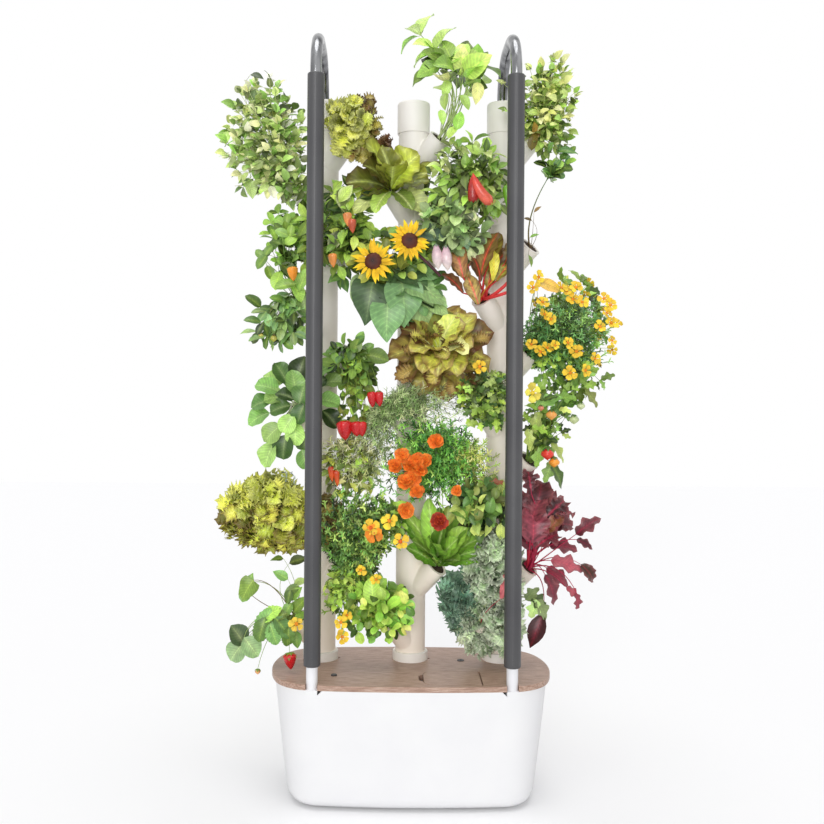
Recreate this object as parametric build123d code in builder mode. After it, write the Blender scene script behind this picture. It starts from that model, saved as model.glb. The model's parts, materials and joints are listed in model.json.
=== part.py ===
"""Indoor hydroponic tower: a planted three-column garden on an oval water tank with two light arches."""

import os
from math import cos, pi, radians, sin, tan

from build123d import *

# Tank: an oval bowl with slightly bowed long sides and drafted walls
TANK_LENGTH = 586.0
TANK_DEPTH = 302.0
TANK_HEIGHT = 255.0
TANK_DRAFT = 6.4
TANK_WALL = 4.0
TANK_FLOOR = 4.0
TANK_BOTTOM_ROUND = 30.0
TANK_BELLY = 1.0
SIDE_BOW = 14.0
END_BULGE = 44.0
CORNER_ROUND = 95.0
LEDGE_THICKNESS = 4.0
LEDGE_MARGIN_X = 45.0
LEDGE_MARGIN_Y = 28.0
LEDGE_CORNER = 80.0
LIFT_NOTCH = 10.0
NOTCH_LEDGE = 5.0

# Rubber feet set into the underside of the tank
FOOT_RADIUS = 12.0
FOOT_HEIGHT = 5.0
FOOT_PROUD = 3.0
FOOT_SPACING_X = 340.0
FOOT_SPACING_Y = 110.0

# Walnut lid, longer than the tank, with a hinged fill hatch
LID_OVERHANG = 7.0
LID_THICKNESS = 11.0
LID_EDGE_ROUND = 2.0
HATCH_LENGTH = 120.0
HATCH_DEPTH = 92.0
HATCH_THICKNESS = 8.0
HATCH_X = 85.0
HATCH_FRONT_MARGIN = 17.0
HATCH_CORNER = 22.0
HATCH_GAP = 1.2
HATCH_LEDGE = 5.0
FINGER_SLOT_LENGTH = 40.0
FINGER_SLOT_WIDTH = 18.0
HINGE_PIN_RADIUS = 1.5
HINGE_PIN_GRIP = 8.0

# Switch button with its control box, and the power inlet
BUTTON_X = -163.0
BUTTON_Y = -73.0
BUTTON_RADIUS = 6.5
BUTTON_PROUD = 2.5
BUTTON_TRAVEL = 1.5
BUTTON_FLANGE = 2.0
BUTTON_FLANGE_RADIUS = 9.0
CONTROL_BOX_LENGTH = 90.0
CONTROL_BOX_DEPTH = 60.0
CONTROL_BOX_HEIGHT = 28.0
INLET_X = 112.0
INLET_Y = 42.0
INLET_RADIUS = 6.0
INLET_FLANGE_RADIUS = 8.0
INLET_FLANGE = 1.2
INLET_SOCKET_RADIUS = 3.0

# Planting columns: five stacked segments each, on a collar in the lid
COLUMN_SPACING = 200.0
COLUMN_Y = 57.0
COLUMN_RADIUS = 33.0
COLUMN_WALL = 3.0
SEGMENT_COUNT = 5
SEGMENT_PITCH = 234.6
SPIGOT_LENGTH = 16.0
SPIGOT_WALL = 2.7
SEGMENT_FLOOR = 3.0
COLLAR_RADIUS = 39.0
COLLAR_HEIGHT = 20.0
COLLAR_TAIL = 10.0
COLLAR_TAIL_WALL = 3.5
COLLAR_ROUND = 3.0
KEY_WIDTH = 7.0
KEY_LENGTH = 5.0
CAP_WALL = 2.6
CAP_HEIGHT = 47.0
CAP_SKIRT = 22.0
CAP_TOP = 3.0
CAP_ROUND = 5.0

# Planting ports, measured from the column axis and from the foot of a segment
PORT_RADIUS = 24.5
PORT_WALL = 2.5
PORT_REACH = 68.0
PORT_RISE = 45.0
PORT_BLEND = 4.0
PORT_TURN = {"left": -45.0, "right": 55.0}
PORT_HEIGHT = {"left": 76.0, "right": 193.0}

# Net cups in the ports
CUP_DEPTH = 42.0
CUP_WALL = 1.5
CUP_TAPER = 4.0
CUP_RIM = 2.0
CUP_RIM_OVERHANG = 0.8
CUP_DRAIN_RADIUS = 8.0

# Plants: a stem, and a crown of lobed rings given as shares of its half height and radius
STEM_RADIUS = 6.0
CROWN_LOBES = 7
CROWN_LOBE_DEPTH = 0.2
CROWN_CLEARANCE = 3.0
CROWN_FORMS = {
    "bush": ((-1.0, 0.35), (-0.55, 0.85), (0.0, 1.0), (0.55, 0.85), (1.0, 0.35)),
    "rosette": ((-1.0, 0.25), (-0.4, 0.65), (0.3, 0.95), (1.0, 0.9)),
}

# Water circuit
RISER_RADIUS = 6.0
RISER_WALL = 1.5
DRIP_FLANGE = 2.0
DRIP_PLUG = 12.0
DRIP_HOLE_RADIUS = 2.0
DRIP_HOLE_COUNT = 8
MANIFOLD_Z = 200.0
MANIFOLD_RADIUS = 10.0
MANIFOLD_END = 18.0
MANIFOLD_SOCKET_RADIUS = 9.0
MANIFOLD_SOCKET_HEIGHT = 24.0
RISER_SEAT = 4.0
PUMP_Y = 26.0
PUMP_LENGTH = 84.0
PUMP_DEPTH = 62.0
PUMP_HEIGHT = 66.0
PUMP_ROUND = 8.0
PUMP_CHAMBER_RADIUS = 24.0
PUMP_CHAMBER_DEPTH = 26.0
PUMP_OUTLET_RADIUS = 12.0
PUMP_OUTLET_HEIGHT = 22.0
PUMP_SHAFT_RADIUS = 2.5
IMPELLER_RADIUS = 22.0
IMPELLER_DISC = 4.0
IMPELLER_HUB_RADIUS = 7.0
IMPELLER_BLADE_HEIGHT = 14.0
IMPELLER_BLADE_THICKNESS = 2.5
IMPELLER_BLADE_COUNT = 6
STRAINER_THICKNESS = 4.0
STRAINER_MARGIN = 6.0
STRAINER_SLOT_WIDTH = 3.0
STRAINER_SLOT_LENGTH = 40.0
STRAINER_SLOT_PITCH = 7.0
STRAINER_SLOT_COUNT = 7

# Light arches: rear tube, bend over the top, light bar in front, post to the tank rim
ARCH_OFFSET_X = 5.5
ARCH_EDGE_MARGIN = 24.0
ARCH_HEADROOM = 120.0
ARCH_BEND = 96.0
TUBE_RADIUS = 12.0
TUBE_WALL = 1.5
TUBE_INSERT = 25.0
PIN_RADIUS = 7.0
PIN_DEPTH = 26.0
BOSS_RADIUS = 13.0
BOSS_HEIGHT = 34.0
BAR_RISE = 35.0
BAR_DROP = 109.0
BAR_RADIUS = 17.5
BAR_END_CAP = 8.0
BAR_END_ROUND = 4.0
CREST_WIDTH = 3.0
CREST_PROUD = 0.8
LED_BOARD_THICKNESS = 1.0
LED_CHANNEL_WIDTH = 14.0
LED_CHANNEL_FLOOR = 14.0

# Clearances
SLIDE_FIT = 0.3
LOOSE_FIT = 0.5
SEAT_FIT = 0.2
CUT_THROUGH = 1.0

# Places worked out from the sizes above
LID_BOTTOM = TANK_HEIGHT + FOOT_PROUD
LID_TOP = LID_BOTTOM + LID_THICKNESS
COLUMN_FOOT = LID_TOP + COLLAR_HEIGHT
COLUMN_TOP = COLUMN_FOOT + SEGMENT_COUNT * SEGMENT_PITCH
LID_LENGTH = TANK_LENGTH + 2 * LID_OVERHANG
ARCH_SPACING_X = 2 * (COLUMN_SPACING + ARCH_OFFSET_X)
ARCH_SPACING_Y = TANK_DEPTH - 2 * ARCH_EDGE_MARGIN
ARCH_TOP = COLUMN_TOP + CAP_HEIGHT + ARCH_HEADROOM
BAR_BOTTOM = LID_TOP + BAR_RISE
BAR_TOP = ARCH_TOP - BAR_DROP
COLUMN_BORE = COLUMN_RADIUS - COLUMN_WALL
SPIGOT_RADIUS = COLUMN_BORE - SLIDE_FIT
SPIGOT_BORE = SPIGOT_RADIUS - SPIGOT_WALL
COLLAR_TAIL_RADIUS = COLUMN_BORE + COLLAR_TAIL_WALL
LID_HOLE_RADIUS = COLLAR_TAIL_RADIUS + SLIDE_FIT
PORT_BORE = PORT_RADIUS - PORT_WALL
CUP_TOP_RADIUS = PORT_BORE - LOOSE_FIT
CUP_FOOT_RADIUS = CUP_TOP_RADIUS - CUP_TAPER
CUP_FLOOR_Z = -CUP_DEPTH + CUP_WALL
FLOOR_TOP = FOOT_PROUD + TANK_FLOOR
HATCH_Y = -TANK_DEPTH / 2 + HATCH_FRONT_MARGIN + HATCH_DEPTH / 2
HATCH_FOOT = LID_TOP - HATCH_THICKNESS
HINGE_X = HATCH_X + HATCH_LENGTH / 2 - HATCH_THICKNESS / 2
HINGE_Z = LID_TOP - HATCH_THICKNESS / 2
BAR_BORE = TUBE_RADIUS + SEAT_FIT

COLUMNS = {"left": -COLUMN_SPACING, "centre": 0.0, "right": COLUMN_SPACING}
TUBE_PLACES = [
    (side * ARCH_SPACING_X / 2, end * ARCH_SPACING_Y / 2) for side in (-1, 1) for end in (-1, 1)
]
FRONT_PLACES = [place for place in TUBE_PLACES if place[1] < 0]


def export(shape, name):
    """Write one node to its own file."""
    shape.label = name
    export_step(shape, f"parts/{name}.step")


def group(solids):
    """Several separate solids that share one node."""
    return Compound(list(solids))


def oval_outline(length):
    """Outline of the tank rim or the lid: bowed long sides, bulged ends and rounded corners."""
    corner_x = length / 2 - END_BULGE
    corner_y = TANK_DEPTH / 2 - SIDE_BOW
    with BuildSketch(mode=Mode.PRIVATE) as outline:
        with BuildLine():
            ThreePointArc((-corner_x, -corner_y), (0, -TANK_DEPTH / 2), (corner_x, -corner_y))
            ThreePointArc((corner_x, -corner_y), (length / 2, 0), (corner_x, corner_y))
            ThreePointArc((corner_x, corner_y), (0, TANK_DEPTH / 2), (-corner_x, corner_y))
            ThreePointArc((-corner_x, corner_y), (-length / 2, 0), (-corner_x, -corner_y))
        make_face()
        fillet(outline.vertices(), radius=CORNER_ROUND)
    return outline.sketch


def port_direction(side):
    """Unit vector along a port, out of the column."""
    turn = radians(PORT_TURN[side])
    rise = radians(PORT_RISE)
    return Vector(sin(turn) * cos(rise), -cos(turn) * cos(rise), sin(rise))


def port_plane(side, column_x=0.0, column_y=0.0, foot=0.0):
    """Plane of a port's mouth, with its Z along the port."""
    turn = radians(PORT_TURN[side])
    mouth = Vector(
        column_x + PORT_REACH * sin(turn),
        column_y - PORT_REACH * cos(turn),
        foot + PORT_HEIGHT[side],
    )
    return Plane(origin=mouth, x_dir=(cos(turn), sin(turn), 0), z_dir=port_direction(side))


def segment_foot(level):
    """Height of the foot of a segment, with level 1 at the top."""
    return COLUMN_FOOT + (SEGMENT_COUNT - level) * SEGMENT_PITCH


os.makedirs("parts", exist_ok=True)
rim_outline = oval_outline(TANK_LENGTH)


def bowl(inset, top, floor, bottom_round):
    """Solid of the drafted tank, drawn in by an inset, from a top down to a floor."""
    with BuildPart() as body:
        for height, belly in ((top, 0.0), ((top + floor) / 2, TANK_BELLY), (floor, 0.0)):
            draw_in = (LID_BOTTOM - height) * tan(radians(TANK_DRAFT))
            with BuildSketch(Plane.XY.offset(height)):
                add(rim_outline)
                if inset + draw_in > 0:
                    offset(amount=belly - inset - draw_in, mode=Mode.REPLACE)
        loft()
        fillet(body.faces().sort_by(Axis.Z)[0].edges(), radius=bottom_round)
    return body.part


# Tank, with a ledge under the lid that leaves the middle open
ledge_foot = LID_BOTTOM - LEDGE_THICKNESS
outer_body = bowl(0.0, LID_BOTTOM, FOOT_PROUD, TANK_BOTTOM_ROUND)
inner_body = bowl(TANK_WALL, ledge_foot, FLOOR_TOP, TANK_BOTTOM_ROUND - TANK_WALL)
with BuildPart() as tank_bosses:
    with BuildSketch(Plane.XY.offset(LID_BOTTOM)):
        with Locations(*TUBE_PLACES):
            Circle(BOSS_RADIUS)
    extrude(amount=-BOSS_HEIGHT)
    add(outer_body, mode=Mode.INTERSECT)
notch_x = ARCH_SPACING_X / 2 - TUBE_RADIUS - LIFT_NOTCH
with BuildPart() as lift_notches:
    with BuildSketch(Plane.XZ.offset(TANK_DEPTH / 2 - LEDGE_MARGIN_Y + NOTCH_LEDGE)):
        for side in (-1, 1):
            with BuildLine():
                Polyline(
                    (side * notch_x, LID_BOTTOM),
                    (side * (notch_x + LIFT_NOTCH), LID_BOTTOM),
                    (side * (notch_x + LIFT_NOTCH), LID_BOTTOM - LIFT_NOTCH),
                    close=True,
                )
            make_face()
    extrude(amount=LEDGE_MARGIN_Y + CUT_THROUGH)
with BuildPart() as tank_shell:
    add(outer_body)
    add(inner_body, mode=Mode.SUBTRACT)
    with BuildSketch(Plane.XY.offset(LID_BOTTOM)):
        RectangleRounded(TANK_LENGTH - 2 * LEDGE_MARGIN_X, TANK_DEPTH - 2 * LEDGE_MARGIN_Y, LEDGE_CORNER)
    extrude(amount=-LEDGE_THICKNESS, mode=Mode.SUBTRACT)
    add(tank_bosses.part)
    add(lift_notches.part, mode=Mode.SUBTRACT)
    with BuildSketch(Plane.XY.offset(LID_BOTTOM)):
        with Locations(*TUBE_PLACES):
            Circle(PIN_RADIUS + SEAT_FIT)
    extrude(amount=-PIN_DEPTH - SEAT_FIT, mode=Mode.SUBTRACT)
    with BuildSketch(Plane.XY.offset(FOOT_PROUD)):
        with GridLocations(FOOT_SPACING_X / 2, FOOT_SPACING_Y, 3, 2):
            Circle(FOOT_RADIUS + SEAT_FIT)
    extrude(amount=FOOT_HEIGHT - FOOT_PROUD, mode=Mode.SUBTRACT)
export(tank_shell.part, "tank")

with BuildPart() as foot:
    with BuildSketch():
        Circle(FOOT_RADIUS)
    extrude(amount=FOOT_HEIGHT)
    chamfer(foot.faces().sort_by(Axis.Z)[0].edges(), length=FOOT_PROUD / 3)
foot_places = GridLocations(FOOT_SPACING_X / 2, FOOT_SPACING_Y, 3, 2)
export(group(place * foot.part for place in foot_places), "tank_feet")

# Lid, with the hatch opening, the tube notches and the keyed collar holes
with BuildPart() as lid:
    with BuildSketch(Plane.XY.offset(LID_BOTTOM)):
        add(oval_outline(LID_LENGTH))
    extrude(amount=LID_THICKNESS)
    fillet(lid.faces().sort_by(Axis.Z)[-1].edges(), radius=LID_EDGE_ROUND)
    with BuildSketch(Plane.XY.offset(LID_TOP)):
        for column_x in COLUMNS.values():
            with Locations((column_x, COLUMN_Y)):
                Circle(LID_HOLE_RADIUS)
                Rectangle(
                    COLLAR_RADIUS + KEY_LENGTH,
                    KEY_WIDTH + 2 * SLIDE_FIT,
                    align=(Align.MIN, Align.CENTER),
                )
        for x, y in TUBE_PLACES:
            with Locations((x, y)):
                Circle(TUBE_RADIUS + SLIDE_FIT)
                Rectangle(
                    2 * (TUBE_RADIUS + SLIDE_FIT),
                    TANK_DEPTH / 2,
                    align=(Align.CENTER, Align.MAX if y < 0 else Align.MIN),
                )
        with Locations((BUTTON_X, BUTTON_Y)):
            Circle(BUTTON_RADIUS + SLIDE_FIT)
        with Locations((INLET_X, INLET_Y)):
            Circle(INLET_RADIUS + SEAT_FIT)
        with Locations((HATCH_X - HATCH_LENGTH / 2 - HATCH_GAP, HATCH_Y)):
            SlotOverall(FINGER_SLOT_LENGTH, FINGER_SLOT_WIDTH, rotation=90)
    extrude(amount=-LID_THICKNESS, mode=Mode.SUBTRACT)
    with BuildSketch(Plane.XY.offset(LID_TOP)) as hatch_pocket:
        with Locations((HATCH_X, HATCH_Y)):
            Rectangle(HATCH_LENGTH + 2 * HATCH_GAP, HATCH_DEPTH + 2 * HATCH_GAP)
        fillet(hatch_pocket.vertices().group_by(Axis.X)[0], radius=HATCH_CORNER + HATCH_GAP)
    extrude(amount=-HATCH_THICKNESS, mode=Mode.SUBTRACT)
    with BuildSketch(Plane.XY.offset(LID_TOP)) as fill_opening:
        with Locations((HATCH_X + HATCH_LEDGE / 2, HATCH_Y)):
            Rectangle(HATCH_LENGTH + 2 * HATCH_GAP - HATCH_LEDGE, HATCH_DEPTH + 2 * HATCH_GAP)
        fillet(fill_opening.vertices().group_by(Axis.X)[0], radius=HATCH_CORNER)
    extrude(amount=-LID_THICKNESS, mode=Mode.SUBTRACT)
    with BuildSketch(Plane.XZ.offset(-HATCH_Y)):
        with Locations((HINGE_X, HINGE_Z)):
            Circle(HINGE_PIN_RADIUS + SEAT_FIT)
    extrude(amount=HATCH_DEPTH / 2 + HATCH_GAP + HINGE_PIN_GRIP, both=True, mode=Mode.SUBTRACT)
export(lid.part, "lid")

# Fill hatch: its right end is a barrel round the hinge pin
with BuildPart() as fill_hatch:
    with BuildSketch(Plane.XZ.offset(-HATCH_Y)):
        with Locations((HATCH_X - HATCH_LENGTH / 2, HINGE_Z)):
            Rectangle(
                HATCH_LENGTH - HATCH_THICKNESS / 2, HATCH_THICKNESS, align=(Align.MIN, Align.CENTER)
            )
        with Locations((HINGE_X, HINGE_Z)):
            Circle(HATCH_THICKNESS / 2)
            Circle(HINGE_PIN_RADIUS + SLIDE_FIT, mode=Mode.SUBTRACT)
    extrude(amount=HATCH_DEPTH / 2, both=True)
    fillet(
        fill_hatch.edges().filter_by(Axis.Z).group_by(Axis.X)[0],
        radius=HATCH_CORNER,
    )
export(fill_hatch.part, "fill_hatch")

with BuildPart() as hinge_pin:
    with BuildSketch(Plane.XZ.offset(-HATCH_Y)):
        with Locations((HINGE_X, HINGE_Z)):
            Circle(HINGE_PIN_RADIUS)
    extrude(amount=HATCH_DEPTH / 2 + HATCH_GAP + HINGE_PIN_GRIP, both=True)
export(hinge_pin.part, "hatch_hinge_pin")

# Switch button: its flange sits in a well of the control box, under the lid
flange_top = LID_BOTTOM - SEAT_FIT
with BuildPart() as switch_button:
    with BuildSketch(Plane.XY.offset(flange_top)):
        with Locations((BUTTON_X, BUTTON_Y)):
            Circle(BUTTON_FLANGE_RADIUS)
    extrude(amount=-BUTTON_FLANGE)
    with BuildSketch(Plane.XY.offset(flange_top)):
        with Locations((BUTTON_X, BUTTON_Y)):
            Circle(BUTTON_RADIUS)
    extrude(amount=LID_TOP + BUTTON_PROUD - flange_top)
    fillet(switch_button.faces().sort_by(Axis.Z)[-1].edges(), radius=BUTTON_PROUD / 2)
export(switch_button.part, "switch_button")

with BuildPart() as control_box:
    with BuildSketch(Plane.XY.offset(LID_BOTTOM)):
        with Locations((BUTTON_X, BUTTON_Y)):
            RectangleRounded(CONTROL_BOX_LENGTH, CONTROL_BOX_DEPTH, BUTTON_RADIUS)
    extrude(amount=-CONTROL_BOX_HEIGHT)
    with BuildSketch(Plane.XY.offset(LID_BOTTOM)):
        with Locations((BUTTON_X, BUTTON_Y)):
            Circle(BUTTON_FLANGE_RADIUS + LOOSE_FIT)
    extrude(
        amount=-(SEAT_FIT + BUTTON_FLANGE + BUTTON_TRAVEL + LOOSE_FIT), mode=Mode.SUBTRACT
    )
export(control_box.part, "control_box")

with BuildPart() as power_inlet:
    with BuildSketch(Plane.XY.offset(LID_TOP)):
        with Locations((INLET_X, INLET_Y)):
            Circle(INLET_FLANGE_RADIUS)
    extrude(amount=INLET_FLANGE)
    with BuildSketch(Plane.XY.offset(LID_TOP)):
        with Locations((INLET_X, INLET_Y)):
            Circle(INLET_RADIUS)
    extrude(amount=-LID_THICKNESS - INLET_RADIUS)
    with BuildSketch(Plane.XY.offset(LID_TOP + INLET_FLANGE)):
        with Locations((INLET_X, INLET_Y)):
            Circle(INLET_SOCKET_RADIUS)
    extrude(amount=-LID_THICKNESS, mode=Mode.SUBTRACT)
export(power_inlet.part, "power_inlet")

# Column collar: a ring on the lid, with a keyed tail through it
with BuildPart() as collar:
    with BuildSketch(Plane.XY.offset(LID_TOP)):
        Circle(COLLAR_RADIUS)
    extrude(amount=COLLAR_HEIGHT)
    fillet(collar.edges().group_by(Axis.Z)[-1], radius=COLLAR_ROUND)
    with BuildSketch(Plane.XY.offset(LID_TOP)):
        Circle(COLLAR_TAIL_RADIUS)
    extrude(amount=-LID_THICKNESS - COLLAR_TAIL)
    with BuildSketch(Plane.XY.offset(LID_TOP)):
        Rectangle(COLLAR_RADIUS, KEY_WIDTH, align=(Align.MIN, Align.CENTER))
    extrude(amount=-LID_THICKNESS)
    with BuildSketch(Plane.XY.offset(COLUMN_FOOT)):
        Circle(COLUMN_BORE)
    extrude(amount=-COLLAR_HEIGHT - LID_THICKNESS - COLLAR_TAIL, mode=Mode.SUBTRACT)
export(group(Pos(x, COLUMN_Y) * collar.part for x in COLUMNS.values()), "column_collars")

# One column segment: a tube with a left and a right port, and a spigot at its foot
port_start = COLUMN_BORE - PORT_RADIUS * sin(radians(PORT_RISE))
port_length = (PORT_REACH - port_start) / cos(radians(PORT_RISE))
with BuildPart() as segment:
    with BuildSketch():
        Circle(COLUMN_RADIUS)
    extrude(amount=SEGMENT_PITCH)
    for side in PORT_TURN:
        with BuildSketch(port_plane(side)):
            Circle(PORT_RADIUS)
        extrude(amount=-port_length)
    seams = segment.edges().filter_by(GeomType.CIRCLE, reverse=True).filter_by(GeomType.LINE, reverse=True)
    fillet(seams, radius=PORT_BLEND)
    with BuildSketch():
        Circle(SPIGOT_RADIUS)
    extrude(amount=-SPIGOT_LENGTH)
    with BuildSketch(Plane.XY.offset(SEGMENT_FLOOR)):
        Circle(COLUMN_BORE)
    extrude(amount=SEGMENT_PITCH, mode=Mode.SUBTRACT)
    with BuildSketch(Plane.XY.offset(-SPIGOT_LENGTH)):
        Circle(SPIGOT_BORE)
    extrude(amount=SPIGOT_LENGTH + SEGMENT_FLOOR, mode=Mode.SUBTRACT)
    for side in PORT_TURN:
        with BuildSketch(port_plane(side)):
            Circle(PORT_BORE)
        extrude(amount=-port_length, mode=Mode.SUBTRACT)
for name, column_x in COLUMNS.items():
    stack = [
        Pos(column_x, COLUMN_Y, segment_foot(level)) * segment.part
        for level in range(1, SEGMENT_COUNT + 1)
    ]
    export(group(stack), f"column_{name}")

# Drip head: a pierced plug in the top of each column, round the riser
with BuildPart() as drip_head:
    with BuildSketch(Plane.XY.offset(COLUMN_TOP)):
        Circle(COLUMN_RADIUS)
    extrude(amount=DRIP_FLANGE)
    with BuildSketch(Plane.XY.offset(COLUMN_TOP)):
        Circle(COLUMN_BORE - SLIDE_FIT)
    extrude(amount=-DRIP_PLUG)
    with BuildSketch(Plane.XY.offset(COLUMN_TOP + DRIP_FLANGE)):
        Circle(RISER_RADIUS + SEAT_FIT)
        with PolarLocations(COLUMN_BORE / 2 + RISER_RADIUS / 2, DRIP_HOLE_COUNT):
            Circle(DRIP_HOLE_RADIUS)
    extrude(amount=-DRIP_FLANGE - DRIP_PLUG, mode=Mode.SUBTRACT)
export(group(Pos(x, COLUMN_Y) * drip_head.part for x in COLUMNS.values()), "drip_heads")

# Column cap: a closed sleeve that lifts off, resting on the drip head
cap_inner = COLUMN_RADIUS + LOOSE_FIT
with BuildPart() as cap:
    with BuildSketch(Plane.XY.offset(COLUMN_TOP - CAP_SKIRT)):
        Circle(cap_inner + CAP_WALL)
    extrude(amount=CAP_SKIRT + CAP_HEIGHT)
    fillet(cap.faces().sort_by(Axis.Z)[-1].edges(), radius=CAP_ROUND)
    with BuildSketch(Plane.XY.offset(COLUMN_TOP - CAP_SKIRT)):
        Circle(cap_inner)
    extrude(amount=CAP_SKIRT + DRIP_FLANGE, mode=Mode.SUBTRACT)
    with BuildSketch(Plane.XY.offset(COLUMN_TOP + DRIP_FLANGE)):
        Circle(COLUMN_BORE)
    extrude(amount=CAP_HEIGHT - DRIP_FLANGE - CAP_TOP, mode=Mode.SUBTRACT)
for name, column_x in COLUMNS.items():
    export(Pos(column_x, COLUMN_Y) * cap.part, f"cap_{name}")

# Riser tubes from the manifold to the drip heads
riser_foot = MANIFOLD_Z + RISER_SEAT
riser_top = COLUMN_TOP + DRIP_FLANGE + RISER_RADIUS
with BuildPart() as riser:
    with BuildSketch(Plane.XY.offset(riser_foot)):
        Circle(RISER_RADIUS)
        Circle(RISER_RADIUS - RISER_WALL, mode=Mode.SUBTRACT)
    extrude(amount=riser_top - riser_foot)
export(group(Pos(x, COLUMN_Y) * riser.part for x in COLUMNS.values()), "riser_tubes")

# Water manifold: a cross tube with a socket under each column, and a feed pipe from the pump
pump_top = FLOOR_TOP + PUMP_HEIGHT
feed_foot = pump_top + RISER_SEAT
manifold_bore = MANIFOLD_RADIUS - RISER_WALL
cross_half = COLUMN_SPACING + MANIFOLD_END
with BuildPart() as water_manifold:
    for radius, end_wall, mode in (
        (MANIFOLD_RADIUS, 0.0, Mode.ADD),
        (manifold_bore, RISER_WALL, Mode.SUBTRACT),
    ):
        if mode == Mode.ADD:
            with BuildSketch(Plane.XY.offset(MANIFOLD_Z)):
                with Locations(*((x, COLUMN_Y) for x in COLUMNS.values())):
                    Circle(MANIFOLD_SOCKET_RADIUS)
            extrude(amount=MANIFOLD_SOCKET_HEIGHT)
        with BuildSketch(Plane.YZ):
            with Locations((COLUMN_Y, MANIFOLD_Z)):
                Circle(radius)
        extrude(amount=cross_half - end_wall, both=True, mode=mode)
        with BuildSketch(Plane.XZ.offset(-COLUMN_Y)):
            with Locations((0, MANIFOLD_Z)):
                Circle(radius)
        extrude(amount=COLUMN_Y - PUMP_Y, mode=mode)
        with Locations((0, PUMP_Y, MANIFOLD_Z)):
            Sphere(radius, mode=mode)
        with BuildSketch(Plane.XY.offset(feed_foot)):
            with Locations((0, PUMP_Y)):
                Circle(radius)
        extrude(amount=MANIFOLD_Z - feed_foot, mode=mode)
    with BuildSketch(Plane.XY.offset(MANIFOLD_Z)):
        with Locations(*((x, COLUMN_Y) for x in COLUMNS.values())):
            Circle(RISER_RADIUS - RISER_WALL)
    extrude(amount=MANIFOLD_SOCKET_HEIGHT, mode=Mode.SUBTRACT)
    with BuildSketch(Plane.XY.offset(riser_foot)):
        with Locations(*((x, COLUMN_Y) for x in COLUMNS.values())):
            Circle(RISER_RADIUS + SEAT_FIT)
    extrude(amount=MANIFOLD_SOCKET_HEIGHT, mode=Mode.SUBTRACT)
export(water_manifold.part, "water_manifold")

# Pump on the tank floor: chamber at the front, outlet socket on top
pump_front = PUMP_Y - PUMP_DEPTH / 2
pump_axis_z = FLOOR_TOP + PUMP_HEIGHT / 2
with BuildPart() as pump_housing:
    with BuildSketch(Plane.XY.offset(FLOOR_TOP)):
        with Locations((0, PUMP_Y)):
            RectangleRounded(PUMP_LENGTH, PUMP_DEPTH, PUMP_ROUND)
    extrude(amount=PUMP_HEIGHT)
    with BuildSketch(Plane.XY.offset(pump_top)):
        with Locations((0, PUMP_Y)):
            Circle(PUMP_OUTLET_RADIUS + RISER_WALL)
    extrude(amount=PUMP_OUTLET_HEIGHT)
    with BuildSketch(Plane.XY.offset(feed_foot)):
        with Locations((0, PUMP_Y)):
            Circle(MANIFOLD_RADIUS + SEAT_FIT)
    extrude(amount=PUMP_OUTLET_HEIGHT, mode=Mode.SUBTRACT)
    with BuildSketch(Plane.XZ.offset(-pump_front)):
        with Locations((0, pump_axis_z)):
            Circle(PUMP_CHAMBER_RADIUS)
    extrude(amount=-PUMP_CHAMBER_DEPTH, mode=Mode.SUBTRACT)
    with BuildSketch(Plane.XY.offset(pump_axis_z + PUMP_CHAMBER_RADIUS / 2)):
        with Locations((0, PUMP_Y)):
            Circle(manifold_bore)
    extrude(amount=PUMP_HEIGHT, mode=Mode.SUBTRACT)
    with BuildSketch(Plane.XZ.offset(-pump_front - PUMP_CHAMBER_DEPTH)):
        with Locations((0, pump_axis_z)):
            Circle(PUMP_SHAFT_RADIUS)
    extrude(amount=PUMP_CHAMBER_DEPTH - LOOSE_FIT)
export(pump_housing.part, "pump_housing")

impeller_back = pump_front + PUMP_CHAMBER_DEPTH - LOOSE_FIT
impeller_length = IMPELLER_DISC + IMPELLER_BLADE_HEIGHT
with BuildPart() as pump_impeller:
    impeller_plane = Plane.XZ.offset(-impeller_back)
    with BuildSketch(impeller_plane):
        with Locations((0, pump_axis_z)):
            Circle(IMPELLER_RADIUS)
    extrude(amount=IMPELLER_DISC)
    with BuildSketch(impeller_plane):
        with Locations((0, pump_axis_z)):
            Circle(IMPELLER_HUB_RADIUS)
            with PolarLocations(0, IMPELLER_BLADE_COUNT):
                Rectangle(
                    IMPELLER_RADIUS - SLIDE_FIT,
                    IMPELLER_BLADE_THICKNESS,
                    align=(Align.MIN, Align.CENTER),
                )
    extrude(amount=impeller_length)
    with BuildSketch(impeller_plane):
        with Locations((0, pump_axis_z)):
            Circle(PUMP_SHAFT_RADIUS + SLIDE_FIT)
    extrude(amount=impeller_length, mode=Mode.SUBTRACT)
export(pump_impeller.part, "pump_impeller")

with BuildPart() as pump_strainer:
    with BuildSketch(Plane.XZ.offset(-pump_front)):
        with Locations((0, pump_axis_z)):
            RectangleRounded(
                PUMP_LENGTH - 2 * STRAINER_MARGIN, PUMP_HEIGHT - 2 * STRAINER_MARGIN, STRAINER_MARGIN
            )
            with GridLocations(STRAINER_SLOT_PITCH, 1, STRAINER_SLOT_COUNT, 1):
                SlotOverall(
                    STRAINER_SLOT_LENGTH, STRAINER_SLOT_WIDTH, rotation=90, mode=Mode.SUBTRACT
                )
    extrude(amount=STRAINER_THICKNESS)
export(pump_strainer.part, "pump_strainer")

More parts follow.
